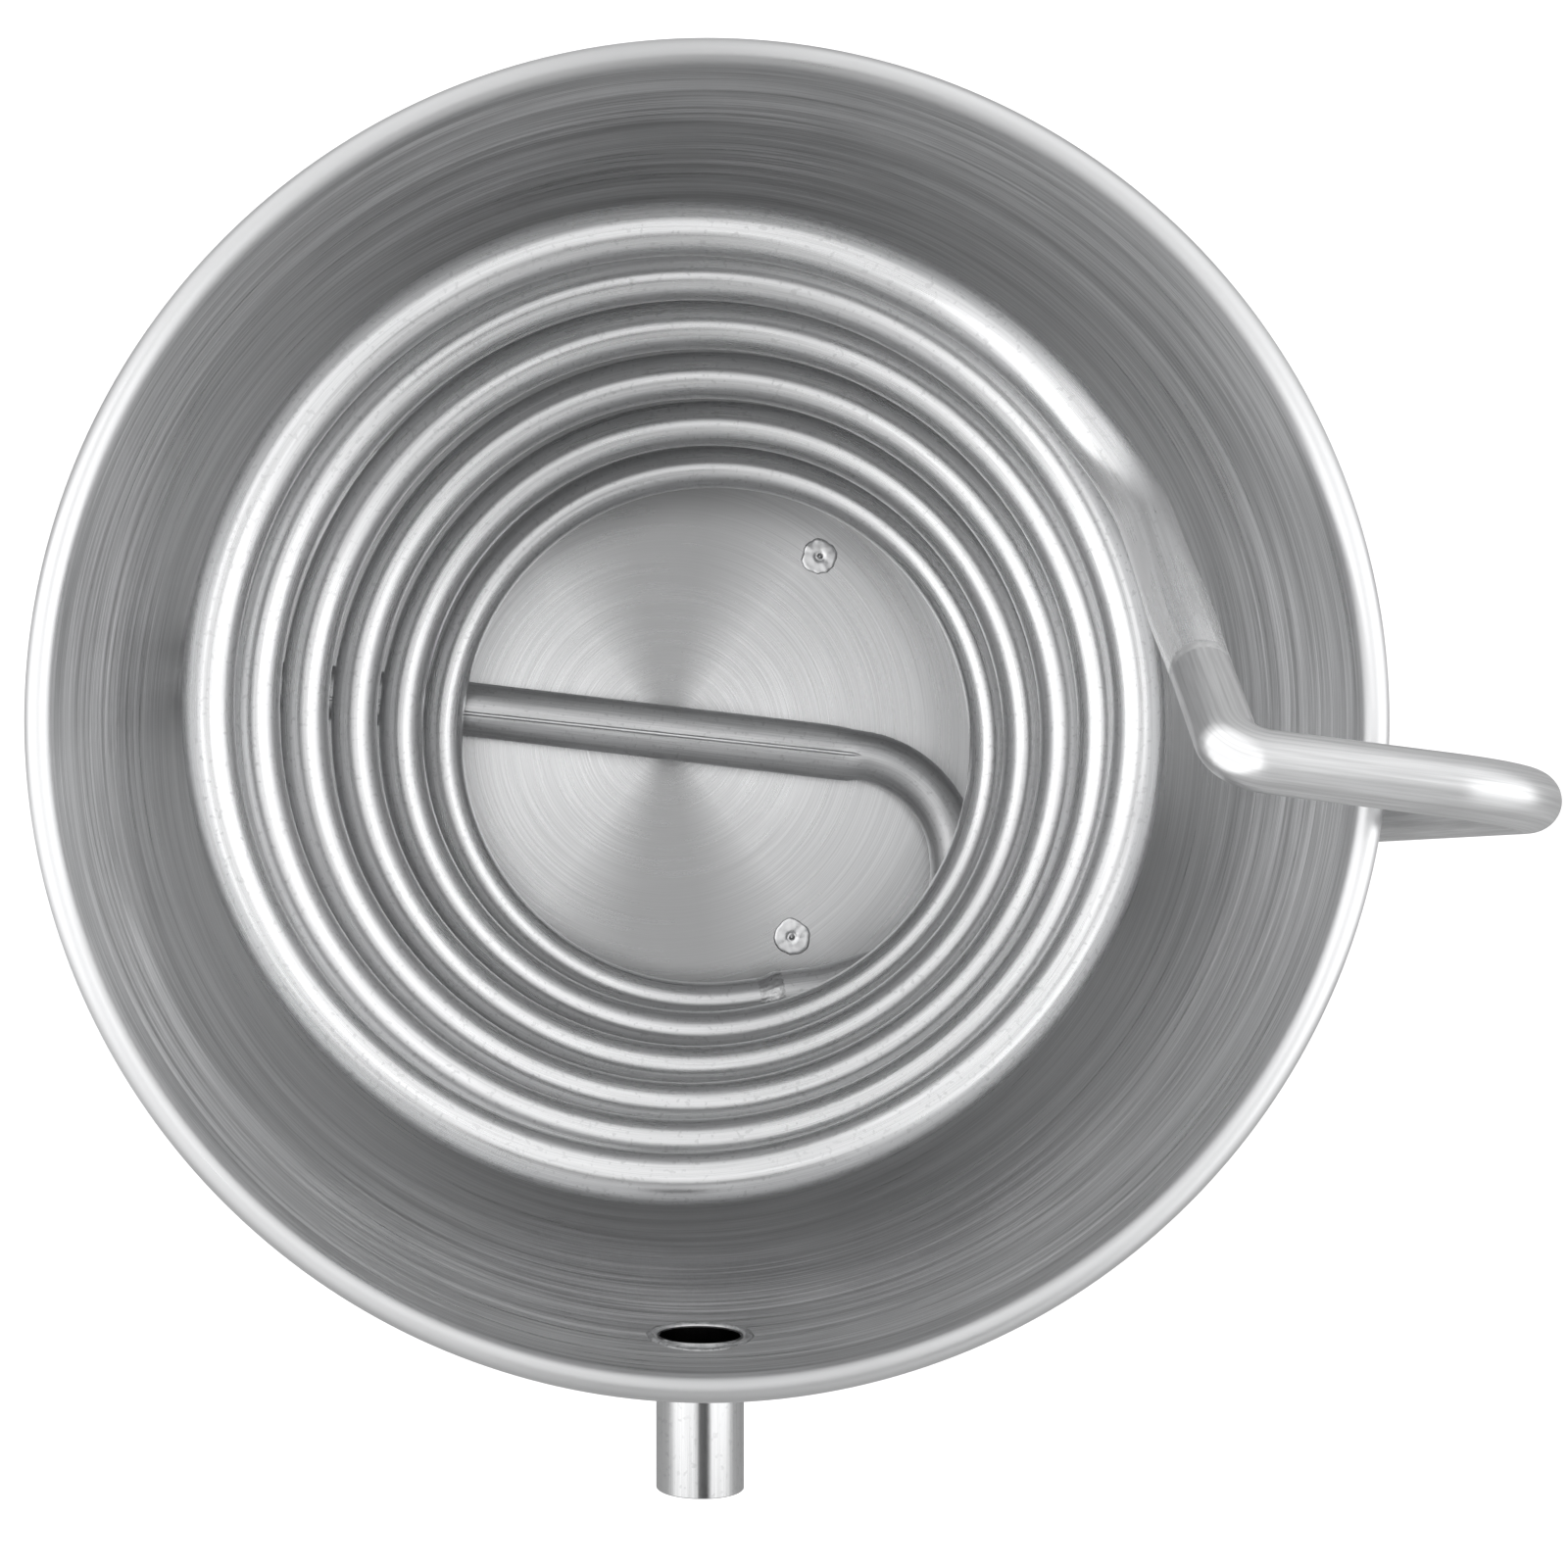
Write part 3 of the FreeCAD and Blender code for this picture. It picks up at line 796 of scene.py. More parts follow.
class Finishes:
    """Every material of the part."""

    def __init__(self, effects: Effects) -> None:
        """Build the materials."""
        self.bucket = RingBrushed(
            "bucket_brushed_steel", dark=0.48, light=0.90, smooth=0.26, rough=0.42,
            relief=0.03 * MM, anisotropic=0.9,
        ).build(effects)
        self.coil = DrawnTube(
            "coil_polished_steel", dark=0.74, light=0.93, smooth=0.24, rough=0.34,
            relief=0.004 * MM, anisotropic=0.25, metal=0.92,
            # Heights of the riser's painted highlight
            highlight_between=(LAYOUT.rim_z - 31 * MM, LAYOUT.rim_z - 14 * MM),
        ).build(effects)
        self.gooseneck = DrawnTube(
            "gooseneck_satin_steel", dark=0.64, light=0.86, smooth=0.26, rough=0.38,
            relief=0.003 * MM, anisotropic=0.4, metal=0.82, lines=3.0, worn=0.0,
        ).build(effects)
        self.outlet = DrawnTube(
            "outlet_satin_steel", dark=0.74, light=0.97, smooth=0.30, rough=0.42,
            relief=0.006 * MM, anisotropic=0.75, metal=0.9, lines=9.0, length=50 * MM, worn=0.15,
        ).build(effects)
        self.overflow = DrawnTube(
            "overflow_satin_steel", dark=0.60, light=0.72, smooth=0.14, rough=0.22,
            relief=0.003 * MM, anisotropic=0.2, lines=12.0, worn=0.2,
            # Painted shade inside the overflow's bore
            shaded_bore_line=(LAYOUT.overflow_z, LAYOUT.overflow_radius - 0.3 * MM),
        ).build(effects)
        self.weld = WeldMetal(
            "cleaned_weld_steel", dark=0.50, light=0.82, smooth=0.24, rough=0.45, relief=0.12 * MM
        ).build(effects)
        self.plug = WeldMetal(
            "plug_weld_steel", dark=0.93, light=1.0, smooth=0.28, rough=0.38, relief=0.02 * MM
        ).build(effects)
        self.ground = WeldMetal(
            "ground_weld_steel", dark=0.66, light=0.86, smooth=0.30, rough=0.42,
            relief=0.01 * MM, metal=0.7,
        ).build(effects)
        self.feet = RingBrushed(
            "turned_foot_steel", dark=0.44, light=0.66, smooth=0.25, rough=0.4,
            relief=0.02 * MM, anisotropic=0.4,
        ).build(effects)


@dataclass
class Bucket:
    """The drawn bucket with its plug welds and feet."""

    steps: int = 288
    wall_rows: int = 60
    curl_rows: int = 28
    corner_rows: int = 10
    floor_rows: int = 24
    base_rows: int = 12
    plug_radius: float = 4.4 * MM
    plug_height: float = 0.35 * MM
    plug_sunk: float = 0.05 * MM
    plug_uneven: float = 0.16
    pip_radius: float = 0.8 * MM
    pip_height: float = 0.5 * MM
    feet_circle: float = 58.0 * MM
    foot_radius: float = 9.0 * MM
    foot_chamfer: float = 1.2 * MM
    foot_azimuths: tuple[tuple[str, float], ...] = (("a", 49.9), ("b", -58.3), ("c", 175.8))
    foot_softening: float = 0.25 * MM
    hole_clearance: float = 0.1 * MM
    cut_reach: float = 12.0 * MM

    def profile(self) -> list[Pair]:
        """The sheet's section: floor and wall inside, curl, wall and floor outside."""
        lay = LAYOUT
        lean_deg = math.degrees(lay.taper)
        corner_z = lay.floor_z + lay.corner_radius
        corner = (lay.wall_radius(corner_z) - lay.corner_radius / math.cos(lay.taper), corner_z)
        inner, outer = (
            arc_profile(corner, radius, -90, -lean_deg, self.corner_rows)
            for radius in (lay.corner_radius, lay.corner_radius + lay.sheet)
        )
        curl_from, curl_to = 180 - lean_deg, lay.curl_end_deg
        curl = arc_profile(lay.curl_centre, lay.curl_radius, curl_from, curl_to, self.curl_rows)
        inside = arc_profile(
            lay.curl_centre, lay.curl_radius - lay.sheet, curl_to, curl_from, self.curl_rows
        )
        rising = run_profile(inner[-1], curl[0], self.wall_rows)
        falling = run_profile(inside[-1], outer[-1], self.wall_rows)
        floor = [(0.0, lay.floor_z)] + run_profile((0.0, lay.floor_z), inner[0], self.floor_rows)
        under = outer[::-1] + run_profile(outer[0], (0.0, lay.foot_height), self.base_rows)
        base = [(0.0, lay.foot_height)]
        return floor + inner + rising + curl + inside + falling + under + base

    def shell(self) -> Piece:
        """The sheet with its two holes for tubes."""
        lay = LAYOUT
        obj = finished(lathed(self.profile(), self.steps), "bucket_drawn_shell", 50.0)
        overflow_at = Vector((0, -lay.wall_radius(lay.overflow_z), lay.overflow_z))
        outlet_at = lay.outlet_foot + lay.outlet_direction * lay.wall_radius(lay.outlet_z)
        reach = Vector((0, self.cut_reach, 0))
        along = lay.outlet_direction * self.cut_reach
        overflow = bar(lay.overflow_radius + self.hole_clearance, overflow_at, reach)
        cut_away(obj, [overflow, bar(lay.outlet_radius + self.hole_clearance, outlet_at, along)])
        return obj

    def plug(self, letter: str, azimuth_deg: float) -> Piece:
        """An uneven, nearly flat button of weld with a dimple and a pip in its middle."""
        top, pip, wide = self.plug_height, self.pip_radius, self.plug_radius
        profile = [
            (0.0, top + self.pip_height),
            (pip * 0.35, top + self.pip_height * 0.85),
            (pip * 0.75, top * 0.8),
            (pip * 1.05, top * 0.35),
            (pip * 1.5, top * 0.85),
            (wide * 0.45, top),
            (wide * 0.60, top * 0.9),
            (wide * 0.80, top),
            (wide * 0.93, top * 0.92),
            (wide * 0.985, top * 0.6),
            (wide, -self.plug_sunk),
            (0.0, -self.plug_sunk),
        ]
        bm = lathed(profile, 96)
        seed = Vector((azimuth_deg, 3.0, 7.0))
        for vert in bm.verts:
            out = Vector((vert.co.x, vert.co.y, 0.0))
            share = out.length / wide
            lobes = 0.0
            if out.length:
                lobes = noise.noise(out.normalized() * 0.9 + seed)
                lobes += 0.35 * noise.noise(out.normalized() * 3.1 + seed)
            vert.co += out * self.plug_uneven * lobes * share * share
            if vert.co.z > 0:
                vert.co.z += top * 0.3 * noise.noise(vert.co * 700 + seed)
        place = polar(self.feet_circle, azimuth_deg, LAYOUT.floor_z)
        bmesh.ops.translate(bm, verts=bm.verts, vec=place)
        return finished(bm, f"plug_button_{letter}", 70.0)

    def foot(self, letter: str, azimuth_deg: float) -> Piece:
        """A turned foot with a softened lower edge."""
        lay = LAYOUT
        soft = self.foot_softening
        profile = [
            (0.0, lay.foot_height),
            (self.foot_radius - soft, lay.foot_height),
            (self.foot_radius, lay.foot_height - soft),
            (self.foot_radius, self.foot_chamfer + soft),
            (self.foot_radius - soft, self.foot_chamfer),
            (self.foot_radius - self.foot_chamfer, 0.0),
            (self.foot_radius * 0.5, 0.0),
            (0.0, 0.0),
        ]
        bm = lathed(profile, 72)
        bmesh.ops.translate(bm, verts=bm.verts, vec=polar(self.feet_circle, azimuth_deg))
        return finished(bm, f"turned_foot_{letter}", 40.0)

    def build(self, finishes: Finishes) -> None:
        """Make and dress the bucket's pieces."""
        placed(self.shell(), Slot.BUCKET, finishes.bucket, "bucket_shell")
        for letter, azimuth in self.foot_azimuths:
            placed(self.plug(letter, azimuth), Slot.WELD, finishes.plug, f"plug_weld_{letter}")
            placed(self.foot(letter, azimuth), Slot.FEET, finishes.feet, f"foot_{letter}")


@dataclass
class Coil:
    """The cone of polished tube and its straight ends."""

    turns: float = 5.59
    start_deg: float = -84.0
    bottom_radius: float = 62.1 * MM
    top_radius: float = 90.3 * MM
    belly: float = 2.8 * MM
    bottom_centre: Pair = (9.6 * MM, -2.1 * MM)
    top_centre: Pair = (-3.4 * MM, 2.6 * MM)
    bottom_above_floor: float = 15.5 * MM
    top_below_rim: float = 38.2 * MM
    wall: float = 1.0 * MM
    end_straight: float = 10.0 * MM
    socket_depth: float = 6.0 * MM
    shoulder_run: float = 23.3 * MM
    shoulder_radius: float = 71.0 * MM
    upturn_azimuth_deg: float = -55.4
    upturn_run: float = 37.6 * MM
    upturn_rise: float = 11.6 * MM
    upturn_radius: float = 31.3 * MM
    riser_straight: float = 48.0 * MM
    wide: float = 0.10
    wide_at: float = 44.0 * MM
    wide_half: float = 12.0 * MM
    points_per_turn: int = 120
    sides: int = 36
    step: float = 2.5 * MM

    def point(self, turn: float) -> Vector:
        """Centre of the tube after a number of turns up from the lower end."""
        share = turn / self.turns
        belly = self.belly * 6.75 * share**2 * (1 - share)
        radius = mixed(self.bottom_radius, self.top_radius, share) + belly
        bottom = Vector((*self.bottom_centre, LAYOUT.floor_z + self.bottom_above_floor))
        top = Vector((*self.top_centre, LAYOUT.rim_z - self.top_below_rim))
        return polar(radius, self.start_deg - 360 * turn) + bottom.lerp(top, share)

    def direction(self, turn: float, step: float = 0.001) -> Vector:
        """Direction of the tube after a number of turns, going up."""
        return (self.point(turn + step) - self.point(turn - step)).normalized()

    @property
    def outlet_joint(self) -> Vector:
        """Where the mouth of the outlet tube's socket meets the coil's lower end."""
        return self.point(0) - self.direction(0) * self.end_straight

    @property
    def shoulder(self) -> Vector:
        """Corner where the top turn leaves its circle."""
        return self.point(self.turns) + self.direction(self.turns) * self.shoulder_run

    @property
    def riser_foot(self) -> Vector:
        """Corner where the tube turns up."""
        return self.shoulder + polar(self.upturn_run, self.upturn_azimuth_deg, self.upturn_rise)

    def inlet_joint(self, elbow: Vector) -> Vector:
        """Where the coil's upper end meets the gooseneck, below an elbow."""
        rising = (elbow - self.riser_foot).normalized()
        turn = (self.riser_foot - self.shoulder).angle(rising)
        reach = self.upturn_radius * math.tan(turn / 2)
        return self.riser_foot + rising * (reach + self.riser_straight)

    def route(self, elbow: Vector) -> list[Vector]:
        """Centre line from the socketed end to the top of the upturn."""
        points = [self.outlet_joint - self.direction(0) * self.socket_depth]
        add_run(points, self.point(0), self.step)
        count = round(self.turns * self.points_per_turn)
        points += [self.point(self.turns * index / count) for index in range(1, count + 1)]
        corners = [points.pop(), self.shoulder, self.riser_foot, self.inlet_joint(elbow)]
        radii = [self.shoulder_radius, self.upturn_radius]
        return points + rounded_route(corners, radii, self.step)

    def widened(self, elbow: Vector) -> Shape:
        """Shape of the tube where bending left the riser wider than it is high.

        Args:
            elbow: corner at the top of the riser.

        Returns:
            A factor on the radius at a station and an angle.
        """
        rising = (elbow - self.riser_foot).normalized()
        across = rising.cross(UP).normalized()
        widest = self.riser_foot + rising * self.wide_at

        def factor(station: Station, angle: float) -> float:
            away = (station.centre - widest).length / self.wide_half
            if away > 3:
                return 1.0
            lean = station.spoke(angle).dot(across) ** 2
            return 1.0 + self.wide * (1.5 * lean - 0.5) * math.exp(-away * away)

        return factor

    def build(self, finishes: Finishes, elbow: Vector) -> None:
        """Make and dress the coil."""
        rows = walled(self.route(elbow), LAYOUT.coil_tube_radius, self.wall, UP, False)
        tube = rolled_tube("coil_wound_tube", *rows, self.sides, Ends.LIPPED, self.widened(elbow))
        placed(tube, Slot.COIL, finishes.coil, "coil_tube")


@dataclass
class Gooseneck:
    """The inlet tube over the rim and the weld at its lower end."""

    coil: Coil
    elbow_offset: Pair = (0.0, -48.9 * MM)
    elbow_above_rim: float = 46.7 * MM
    elbow_radius: float = 6.6 * MM
    arch_above_rim: float = 53.0 * MM
    arch_swing: float = 6.5 * MM
    arch_end_radius: float = 14.0 * MM
    leg_rim_gap: float = 4.2 * MM
    leg_swing: float = 5.0 * MM
    leg_end_below_rim: float = 70.0 * MM
    sides: int = 64
    step: float = 0.8 * MM
    facet_depth: float = 1.1 * MM
    facet_reach: float = 18.0 * MM
    facet_up: float = 0.78
    facet_back: float = 0.62
    crease_depth: float = 0.10
    crease_half: float = 0.8 * MM
    bead_half: float = 1.1 * MM
    bead_height: float = 0.05 * MM

    @property
    def elbow(self) -> Vector:
        """Corner at the top of the riser."""
        foot = self.coil.riser_foot
        height = LAYOUT.rim_z + self.elbow_above_rim
        return Vector((foot.x + self.elbow_offset[0], foot.y + self.elbow_offset[1], height))

    @property
    def corners(self) -> list[Vector]:
        """The weld, the elbow, the arch's far corner and the open end of the leg."""
        elbow = self.elbow
        over_rim = LAYOUT.rim_radius + self.leg_rim_gap + LAYOUT.coil_tube_radius
        arch = Vector((over_rim, elbow.y - self.arch_swing, LAYOUT.rim_z + self.arch_above_rim))
        leg_end = Vector((arch.x, arch.y - self.leg_swing, LAYOUT.rim_z - self.leg_end_below_rim))
        return [self.coil.inlet_joint(elbow), elbow, arch, leg_end]

    def route(self) -> list[Vector]:
        """Centre line from the weld to the open end of the leg."""
        return rounded_route(self.corners, [self.elbow_radius, self.arch_end_radius], self.step)

    def pressed(self, route: Sequence[Vector]) -> Shape:
        """Shape of the tube where the bender pressed a facet on the elbow and a crease in the arch.

        Args:
            route: the tube's centre line.

        Returns:
            A factor on the radius at a station and an angle.
        """
        _, elbow, arch, leg_end = self.corners
        across = (arch - elbow).normalized()
        falling = (leg_end - arch).normalized()
        facing = (UP * self.facet_up - across * self.facet_back).normalized()
        radius = LAYOUT.coil_tube_radius
        near = [point for point in route if (point - elbow).length < self.facet_reach]
        limit = max(point.dot(facing) for point in near) + radius - self.facet_depth
        inward = (falling - across).normalized()
        crease_at = min(route, key=lambda point: (point - arch).length)

        def factor(station: Station, angle: float) -> float:
            spoke = station.spoke(angle)
            kept = 1.0
            lean = spoke.dot(facing)
            if lean > 0.05 and (station.centre - elbow).length < self.facet_reach:
                kept = min(1.0, (limit - station.centre.dot(facing)) / (lean * radius))
            away = (station.centre - crease_at).length / self.crease_half
            return kept - self.crease_depth * max(0.0, spoke.dot(inward)) * math.exp(-away * away)

        return factor

    def build(self, finishes: Finishes) -> None:
        """Make and dress the gooseneck and its weld."""
        route = self.route()
        radius = LAYOUT.coil_tube_radius
        rows = walled(route, radius, self.coil.wall, Vector((1, 0, 0)), False)
        tube = rolled_tube(
            "gooseneck_bent_tube", *rows, self.sides, Ends.LIPPED, self.pressed(route)
        )
        placed(tube, Slot.GOOSENECK, finishes.gooseneck, "inlet_gooseneck")
        rising = (route[1] - route[0]).normalized()
        weld = ring_bead(
            "gooseneck_joint_bead", route[0], rising, (radius, radius), self.bead_half,
            self.bead_height,
        )
        placed(weld, Slot.WELD, finishes.ground, "inlet_joint_weld")


def ring_bead(
    name: str, centre: Vector, axis: Vector, radii: Pair, half: float, height: float
) -> Piece:
    """A weld bead round a tube, with the ripples of a hand weld.

    Args:
        name: the object's name.
        centre: middle of the bead on the tube's centre line.
        axis: the tube's direction.
        radii: the tube's radius before and after the bead.
        half: half of the bead's width.
        height: how far the bead stands off the tube.

    Returns:
        The bead.
    """
    root = min(radii) - 0.3 * MM
    profile = [(root, -half)]
    for index in range(17):
        share = index / 8 - 1
        under = mixed(radii[0], radii[1], eased(-0.7, 0.7, share))
        profile.append((under + height * math.cos(share * math.pi / 2), half * share))
    profile.append((root, half))
    bm = lathed(profile, 120)
    for vert in bm.verts:
        angle = math.atan2(vert.co.y, vert.co.x)
        out = Vector((vert.co.x, vert.co.y, 0.0)).normalized()
        if math.hypot(vert.co.x, vert.co.y) > root + 0.1 * MM:
            ripple = 0.25 * math.sin(angle * 26 + 900 * vert.co.z)
            vert.co += out * height * (ripple + 0.6 * noise.noise(out * 3))
    turned = axis.to_track_quat("Z", "Y").to_matrix().to_4x4()
    bmesh.ops.transform(bm, matrix=Matrix.Translation(centre) @ turned, verts=bm.verts)
    return finished(bm, name, 60.0)


@dataclass
class Outlet:
    """The tube from the coil's lower end through the wall, with its welds."""

    coil: Coil
    wall: float = 0.9 * MM
    ubend_reach: float = 46.4 * MM
    ubend_radius: float = 26.2 * MM
    ubend_middle_run: float = 2.5 * MM
    ubend_middle_deg: float = 96.0
    knee_run: float = 5.5 * MM
    knee_radius: float = 24.0 * MM
    end_radius: float = 146.0 * MM
    sides: int = 56
    step: float = 2.0 * MM
    socket_bead: float = 6.0 * MM
    half_width: float = 6.6 * MM
    half_height: float = 5.4 * MM
    seam_radius: float = 0.52 * MM
    seam_rise: float = 0.18 * MM
    seam_lean_deg: float = 18.0
    arm_reach_aside: float = 10.0 * MM
    arm_lead: float = 1.0 * MM
    flat_by: Pair = (9.0 * MM, 3.0 * MM)
    round_again: Pair = (22.0 * MM, 6.0 * MM)
    pinch_depth: float = 0.05
    pinch_before: float = 2.5 * MM
    pinch_half: float = 1.6 * MM
    lip_bead: float = 0.75 * MM
    outer_bead: float = 1.1 * MM
    bead_outset: float = 0.4 * MM

    def route(self) -> list[Vector]:
        """Centre line from the socket to the open end outside the wall."""
        lay = LAYOUT
        arm = lay.outlet_direction
        low = self.coil.direction(0)
        knee = self.coil.outlet_joint - low * (self.coil.socket_depth + self.knee_run)
        middle = polar(1.0, self.ubend_middle_deg)
        half_turn = math.radians(lay.outlet_azimuth_deg - self.ubend_middle_deg) / 2
        reach = self.ubend_radius * math.tan(half_turn)
        upper = lay.outlet_foot - arm * (self.ubend_reach + reach)
        lower = upper - middle * (2 * reach + self.ubend_middle_run)
        corners = [
            self.coil.outlet_joint, knee, lower, upper, lay.outlet_foot + arm * self.end_radius
        ]
        radii = [self.knee_radius, self.ubend_radius, self.ubend_radius]
        return rounded_route(corners, radii, self.step)

    def past_bend(self, place: Vector) -> float:
        """How far along the straight arm a place lies from the end of the U-bend."""
        offset = place - LAYOUT.outlet_foot
        if offset.cross(LAYOUT.outlet_direction).length > self.arm_reach_aside:
            return -self.ubend_reach
        return offset.dot(LAYOUT.outlet_direction) + self.ubend_reach

    def squash(self, station: Station, angle: float) -> float:
        """Factor on the radius: the arm is rolled flatter than the bend, up to near the wall."""
        along = self.past_bend(station.centre)
        wall_at = self.ubend_reach + LAYOUT.wall_radius(LAYOUT.outlet_z)
        inner_side = 0.5 - 0.5 * math.cos(angle)
        start = eased(-self.arm_lead, mixed(*self.flat_by, inner_side), along)
        flat = start * (1 - eased(*(wall_at - before for before in self.round_again), along))
        across, over = self.half_width, self.half_height
        oval = across * over / math.hypot(over * math.cos(angle), across * math.sin(angle))
        away = (along + self.pinch_before) / self.pinch_half
        pinch = self.pinch_depth * inner_side**2 * math.exp(-away * away)
        return mixed(1.0, oval / LAYOUT.outlet_radius, flat) - pinch

    def seam(self, arm: Sequence[Station]) -> Piece:
        """The raised seam along the top of the arm, which leans aside toward the wall."""
        stations = []
        for index, station in enumerate(arm):
            share = index / (len(arm) - 1)
            angle = math.radians(90 + self.seam_lean_deg * share)
            radius = LAYOUT.outlet_radius * self.squash(station, angle) + self.seam_rise
            centre = station.centre + station.spoke(angle) * radius
            stations.append(Station(centre, station.side, station.up, station.along))
        radii = [self.seam_radius * min(1.0, 0.02 + 3 * index) for index in range(len(arm))]
        radii = [min(pair) for pair in zip(radii, reversed(radii))]
        uneven = [1 + 0.2 * noise.noise(Vector((s.along * 300, 0.0, 5.0))) for s in stations]
        sizes = [radius * factor for radius, factor in zip(radii, uneven)]
        return rolled_tube("outlet_seam_bead", stations, sizes, 10, Ends.TAPERED)

    def build(self, finishes: Finishes) -> None:
        """Make and dress the tube, its seam and its welds."""
        lay = LAYOUT
        route = self.route()
        rows = walled(route, lay.outlet_radius, self.wall, UP, True)
        tube = rolled_tube("outlet_bent_tube", *rows, self.sides, Ends.LIPPED, self.squash)
        placed(tube, Slot.OUTLET, finishes.outlet, "outlet_tube")
        wall_at = self.ubend_reach + lay.wall_radius(lay.outlet_z)
        arm = [
            station
            for station in stations_on(route, UP, True)
            if -self.arm_lead < self.past_bend(station.centre) < wall_at - 2 * self.arm_lead
        ]
        placed(self.seam(arm), Slot.OUTLET, finishes.plug)
        low = self.coil.direction(0)
        socket = ring_bead(
            "outlet_socket_bead", self.coil.outlet_joint + low * self.socket_bead * 0.3,
            low, (lay.outlet_radius, lay.coil_tube_radius), self.socket_bead / 2, 0.12 * MM,
        )
        placed(socket, Slot.WELD, finishes.weld, "outlet_joint_weld")
        line = (lay.outlet_foot, lay.outlet_direction, lay.outlet_radius + self.bead_outset)
        inner = wall_ring("outlet_lip_bead", *line, 0.0, self.lip_bead)
        placed(inner, Slot.WELD, finishes.weld, "outlet_weld_inner")
        outer = wall_ring("outlet_outer_bead", *line, lay.sheet, self.outer_bead)
        placed(outer, Slot.WELD, finishes.weld, "outlet_weld_outer")


def wall_ring(
    name: str, point: Vector, direction: Vector, radius: float, outset: float, thick: float,
    ripple: float = 0.05,
) -> Piece:
    """A weld bead that follows the wall round a tube that passes through it.

    Args:
        name: the object's name.
        point: a point of the tube's centre line.
        direction: the tube's direction, level and outwards.
        radius: how far the bead's middle lies from the tube's centre line.
        outset: which face of the wall it follows, 0 for the inner one.
        thick: the bead's radius.
        ripple: how much the bead's radius changes round it, as a share.

    Returns:
        The bead.
    """
    side = UP.cross(direction)
    count = 96
    stations = []
    along = 0.0
    middle = point + direction * LAYOUT.wall_radius(point.z, outset)
    for index in range(count):
        angle = 2 * math.pi * index / count
        out = side * math.cos(angle) + UP * math.sin(angle)
        place = point + out * radius
        reach = LAYOUT.wall_radius(place.z, outset)
        across = place.dot(side)
        ahead = math.sqrt(reach**2 - across**2)
        centre = side * across + direction * ahead + UP * place.z
        if stations:
            along += (centre - stations[-1].centre).length
        stations.append(Station(centre, out, direction, along))
    radii = [thick * (1 + ripple * math.sin(index * math.pi / 4)) for index in range(count)]
    return rolled_tube(name, stations, radii, 16, Ends.LOOPED)


@dataclass
class Overflow:
    """The short tube under the rim and its welds."""

    wall: float = 0.6 * MM
    end_radius: float = 139.3 * MM
    stands_in: float = 0.4 * MM
    sides: int = 72
    step: float = 1.5 * MM
    lip_at: Pair = (0.4 * MM, 0.2 * MM)
    lip_bead: float = 0.45 * MM
    outer_outset: float = 1.0 * MM
    outer_bead: float = 1.2 * MM

    def build(self, finishes: Finishes) -> None:
        """Make and dress the tube and its welds."""
        lay = LAYOUT
        out = Vector((0, -1, 0))
        level = UP * lay.overflow_z
        start = level + out * (lay.wall_radius(lay.overflow_z) - self.stands_in)
        points = [start]
        add_run(points, level + out * self.end_radius, self.step)
        rows = walled(points, lay.overflow_radius, self.wall, UP, True)
        tube = rolled_tube("overflow_plain_tube", *rows, self.sides, Ends.LIPPED)
        placed(tube, Slot.OVERFLOW, finishes.overflow, "overflow_tube")
        aside, outset = self.lip_at
        radius = lay.overflow_radius + aside
        inner = wall_ring("overflow_lip_bead", level, out, radius, outset, self.lip_bead, 0.0)
        placed(inner, Slot.WELD, finishes.ground, "overflow_weld_inner")
        radius = lay.overflow_radius + self.outer_outset
        outer = wall_ring("overflow_outer_bead", level, out, radius, lay.sheet, self.outer_bead)
        placed(outer, Slot.WELD, finishes.weld, "overflow_weld_outer")


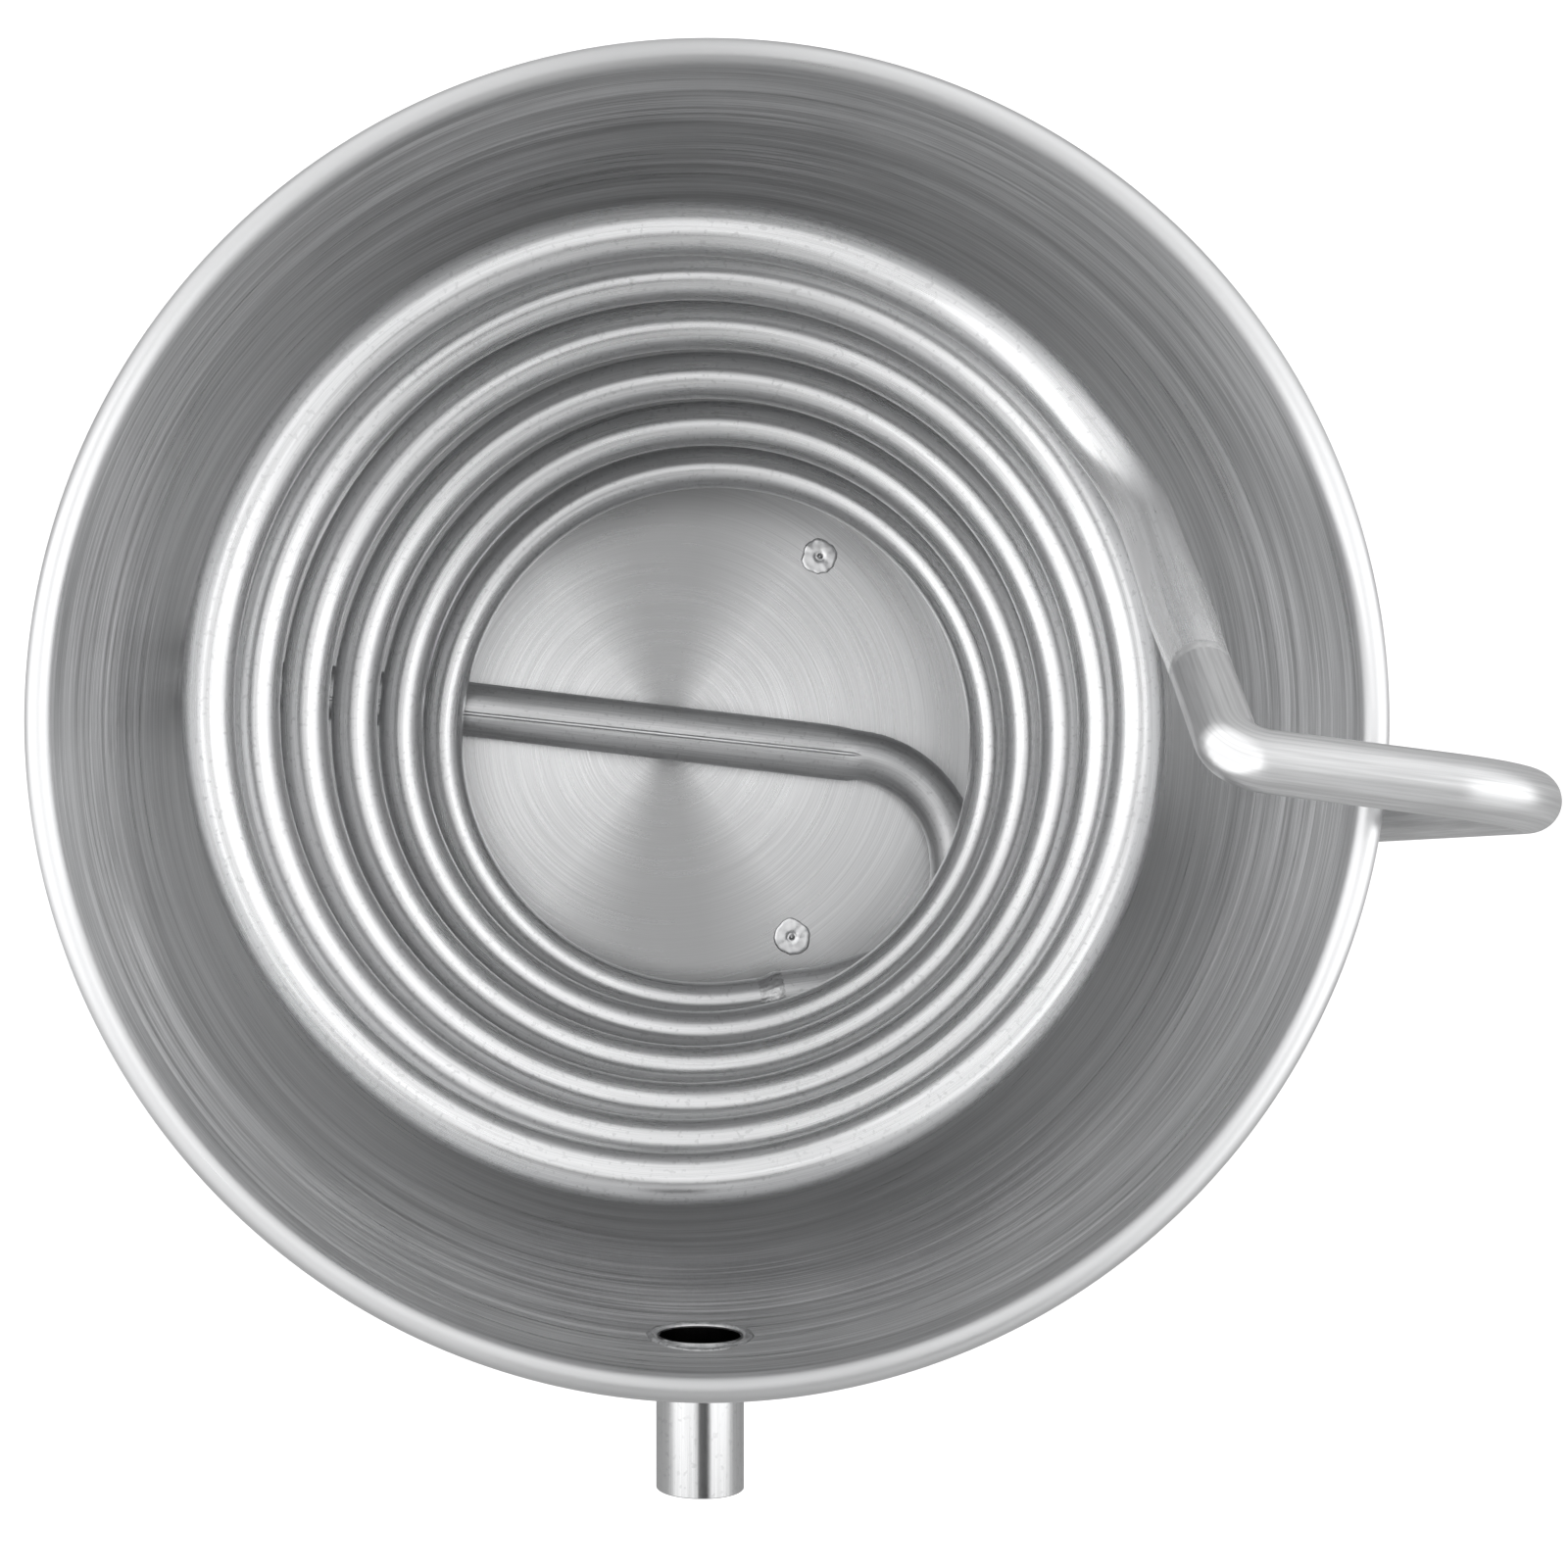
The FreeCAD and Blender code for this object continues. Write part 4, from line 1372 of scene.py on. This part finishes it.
@dataclass
class Studio:
    """Camera, lamps, world and floor."""

    focal_px: float = 2750.0
    frame_px: float = 1600.0
    sensor: float = 36.0
    centre_px: Pair = (588.0, 790.6)
    above_rim: float = 463.6 * MM
    camera_xy: Pair = (-22.56 * MM, -9.4 * MM)
    lamp_aside: float = 1.1
    lamp_height: float = 1.1
    lamp_size: Pair = (1.0, 1.8)
    lamp_watts: float = 3.5
    lamp_aim: float = 0.12
    floor_width: float = 8.0
    floor_tone: float = 0.9
    floor_mirrored: float = 0.45
    floor_glow: float = 0.45
    card_xy: Pair = (70 * MM, -255 * MM)
    card_size: Pair = (260 * MM, 170 * MM)
    card_glow: float = 0.06

    def camera(self) -> None:
        """Camera above the bucket, looking straight down, shifted as the photograph is framed."""
        data = bpy.data.cameras.new("camera")
        data.sensor_fit = "HORIZONTAL"
        data.sensor_width = self.sensor
        data.lens = self.focal_px / self.frame_px * self.sensor
        data.shift_x = (self.frame_px / 2 - self.centre_px[0]) / self.frame_px
        data.shift_y = (self.centre_px[1] - self.frame_px / 2) / self.frame_px
        data.clip_start = 0.01
        data.clip_end = 50.0
        obj = bpy.data.objects.new("camera", data)
        obj.location = (*self.camera_xy, LAYOUT.rim_z + self.above_rim)
        bpy.context.scene.collection.objects.link(obj)
        bpy.context.scene.camera = obj

    def lamp(self, name: str, side: float) -> None:
        """Soft rectangular lamp that faces the bucket from one side."""
        data = bpy.data.lights.new(name, "AREA")
        data.shape = "RECTANGLE"
        data.size, data.size_y = self.lamp_size
        data.energy = self.lamp_watts
        obj = bpy.data.objects.new(name, data)
        obj.location = (side * self.lamp_aside, 0.0, self.lamp_height)
        facing = UP * self.lamp_aim - obj.location
        obj.rotation_euler = facing.to_track_quat("-Z", "Y").to_euler()
        obj.visible_camera = False
        bpy.context.scene.collection.objects.link(obj)

    def world(self) -> None:
        """White tent with brighter panels left and right, and a dimmer front (-Y)."""
        world = bpy.data.worlds.new("white_tent")
        board = cleared(world)
        x, y, z = board.axes(board.add("TexCoord").outputs["Generated"])
        panels = board.spread(board.math("ABSOLUTE", x), 0.10, 0.26, 0.86, 1.06)
        horizon = board.spread(z, 0.0, 0.35, 0.60, 1.0)
        front = board.spread(y, -0.35, -0.75, 1.0, 0.55)
        level = board.math("MULTIPLY", board.math("MULTIPLY", panels, horizon), front)
        seen = board.add("LightPath").outputs["Is Camera Ray"]
        level = board.math("MAXIMUM", level, seen)
        board.show("World", board.add("Background", (1, 1, 1, 1), level))
        bpy.context.scene.world = world

    @staticmethod
    def sheet(name: str, material: Material, size: Pair, place: Vector) -> Piece:
        """Level rectangle of the studio, which is no part of the object."""
        bm = bmesh.new()
        bmesh.ops.create_grid(bm, x_segments=1, y_segments=1, size=0.5)
        bmesh.ops.scale(bm, vec=(*size, 1.0), verts=bm.verts)
        bmesh.ops.translate(bm, vec=place, verts=bm.verts)
        obj = finished(bm, name)
        obj.data.materials.append(material)
        return obj

    def floor(self) -> None:
        """Pale floor that shows white from above, keeps the part's shadow and is clear from below."""
        material = bpy.data.materials.new("pale_floor")
        board = cleared(material)
        path = board.add("LightPath").outputs
        tones = ((tone, tone, tone, 1.0) for tone in (self.floor_tone, self.floor_mirrored))
        paint = board.add("BsdfDiffuse", board.blend(path["Is Glossy Ray"], *tones), 0.5)
        seen = board.math("MAXIMUM", path["Is Camera Ray"], path["Is Transmission Ray"])
        seen = board.math("MULTIPLY", seen, self.floor_glow)
        glow = board.add("Emission", (1, 1, 1, 1), seen)
        both = board.add("AddShader", paint.outputs[0], glow.outputs[0])
        below = board.add("NewGeometry").outputs["Backfacing"]
        clear = board.add("BsdfTransparent")
        one_way = board.add("MixShader", below, both.outputs[0], clear.outputs[0])
        board.show("Material", one_way)
        self.sheet("floor", material, (self.floor_width, self.floor_width), Vector())

    def card(self) -> None:
        """Dark card beside the camera, which only shows where the steel mirrors it."""
        material = bpy.data.materials.new("dark_card")
        board = cleared(material)
        board.show("Material", board.add("Emission", (1, 1, 1, 1), self.card_glow))
        place = Vector((*self.card_xy, LAYOUT.rim_z + self.above_rim))
        obj = self.sheet("dark_card", material, self.card_size, place)
        obj.visible_camera = obj.visible_diffuse = obj.visible_shadow = False
        obj.visible_transmission = False

    def build(self) -> None:
        """Set the whole studio up."""
        bpy.context.scene.view_settings.view_transform = "Standard"
        self.camera()
        self.world()
        self.floor()
        self.card()
        self.lamp("left_lamp", -1)
        self.lamp("right_lamp", 1)


def main() -> None:
    """Build the studio and every sub-assembly."""
    logging.basicConfig(level=logging.INFO, format="%(message)s")
    Studio().build()
    finishes = Finishes(Effects())
    Bucket().build(finishes)
    coil = Coil()
    gooseneck = Gooseneck(coil)
    coil.build(finishes, gooseneck.elbow)
    gooseneck.build(finishes)
    Outlet(coil).build(finishes)
    Overflow().build(finishes)


if __name__ == "__main__":
    main()
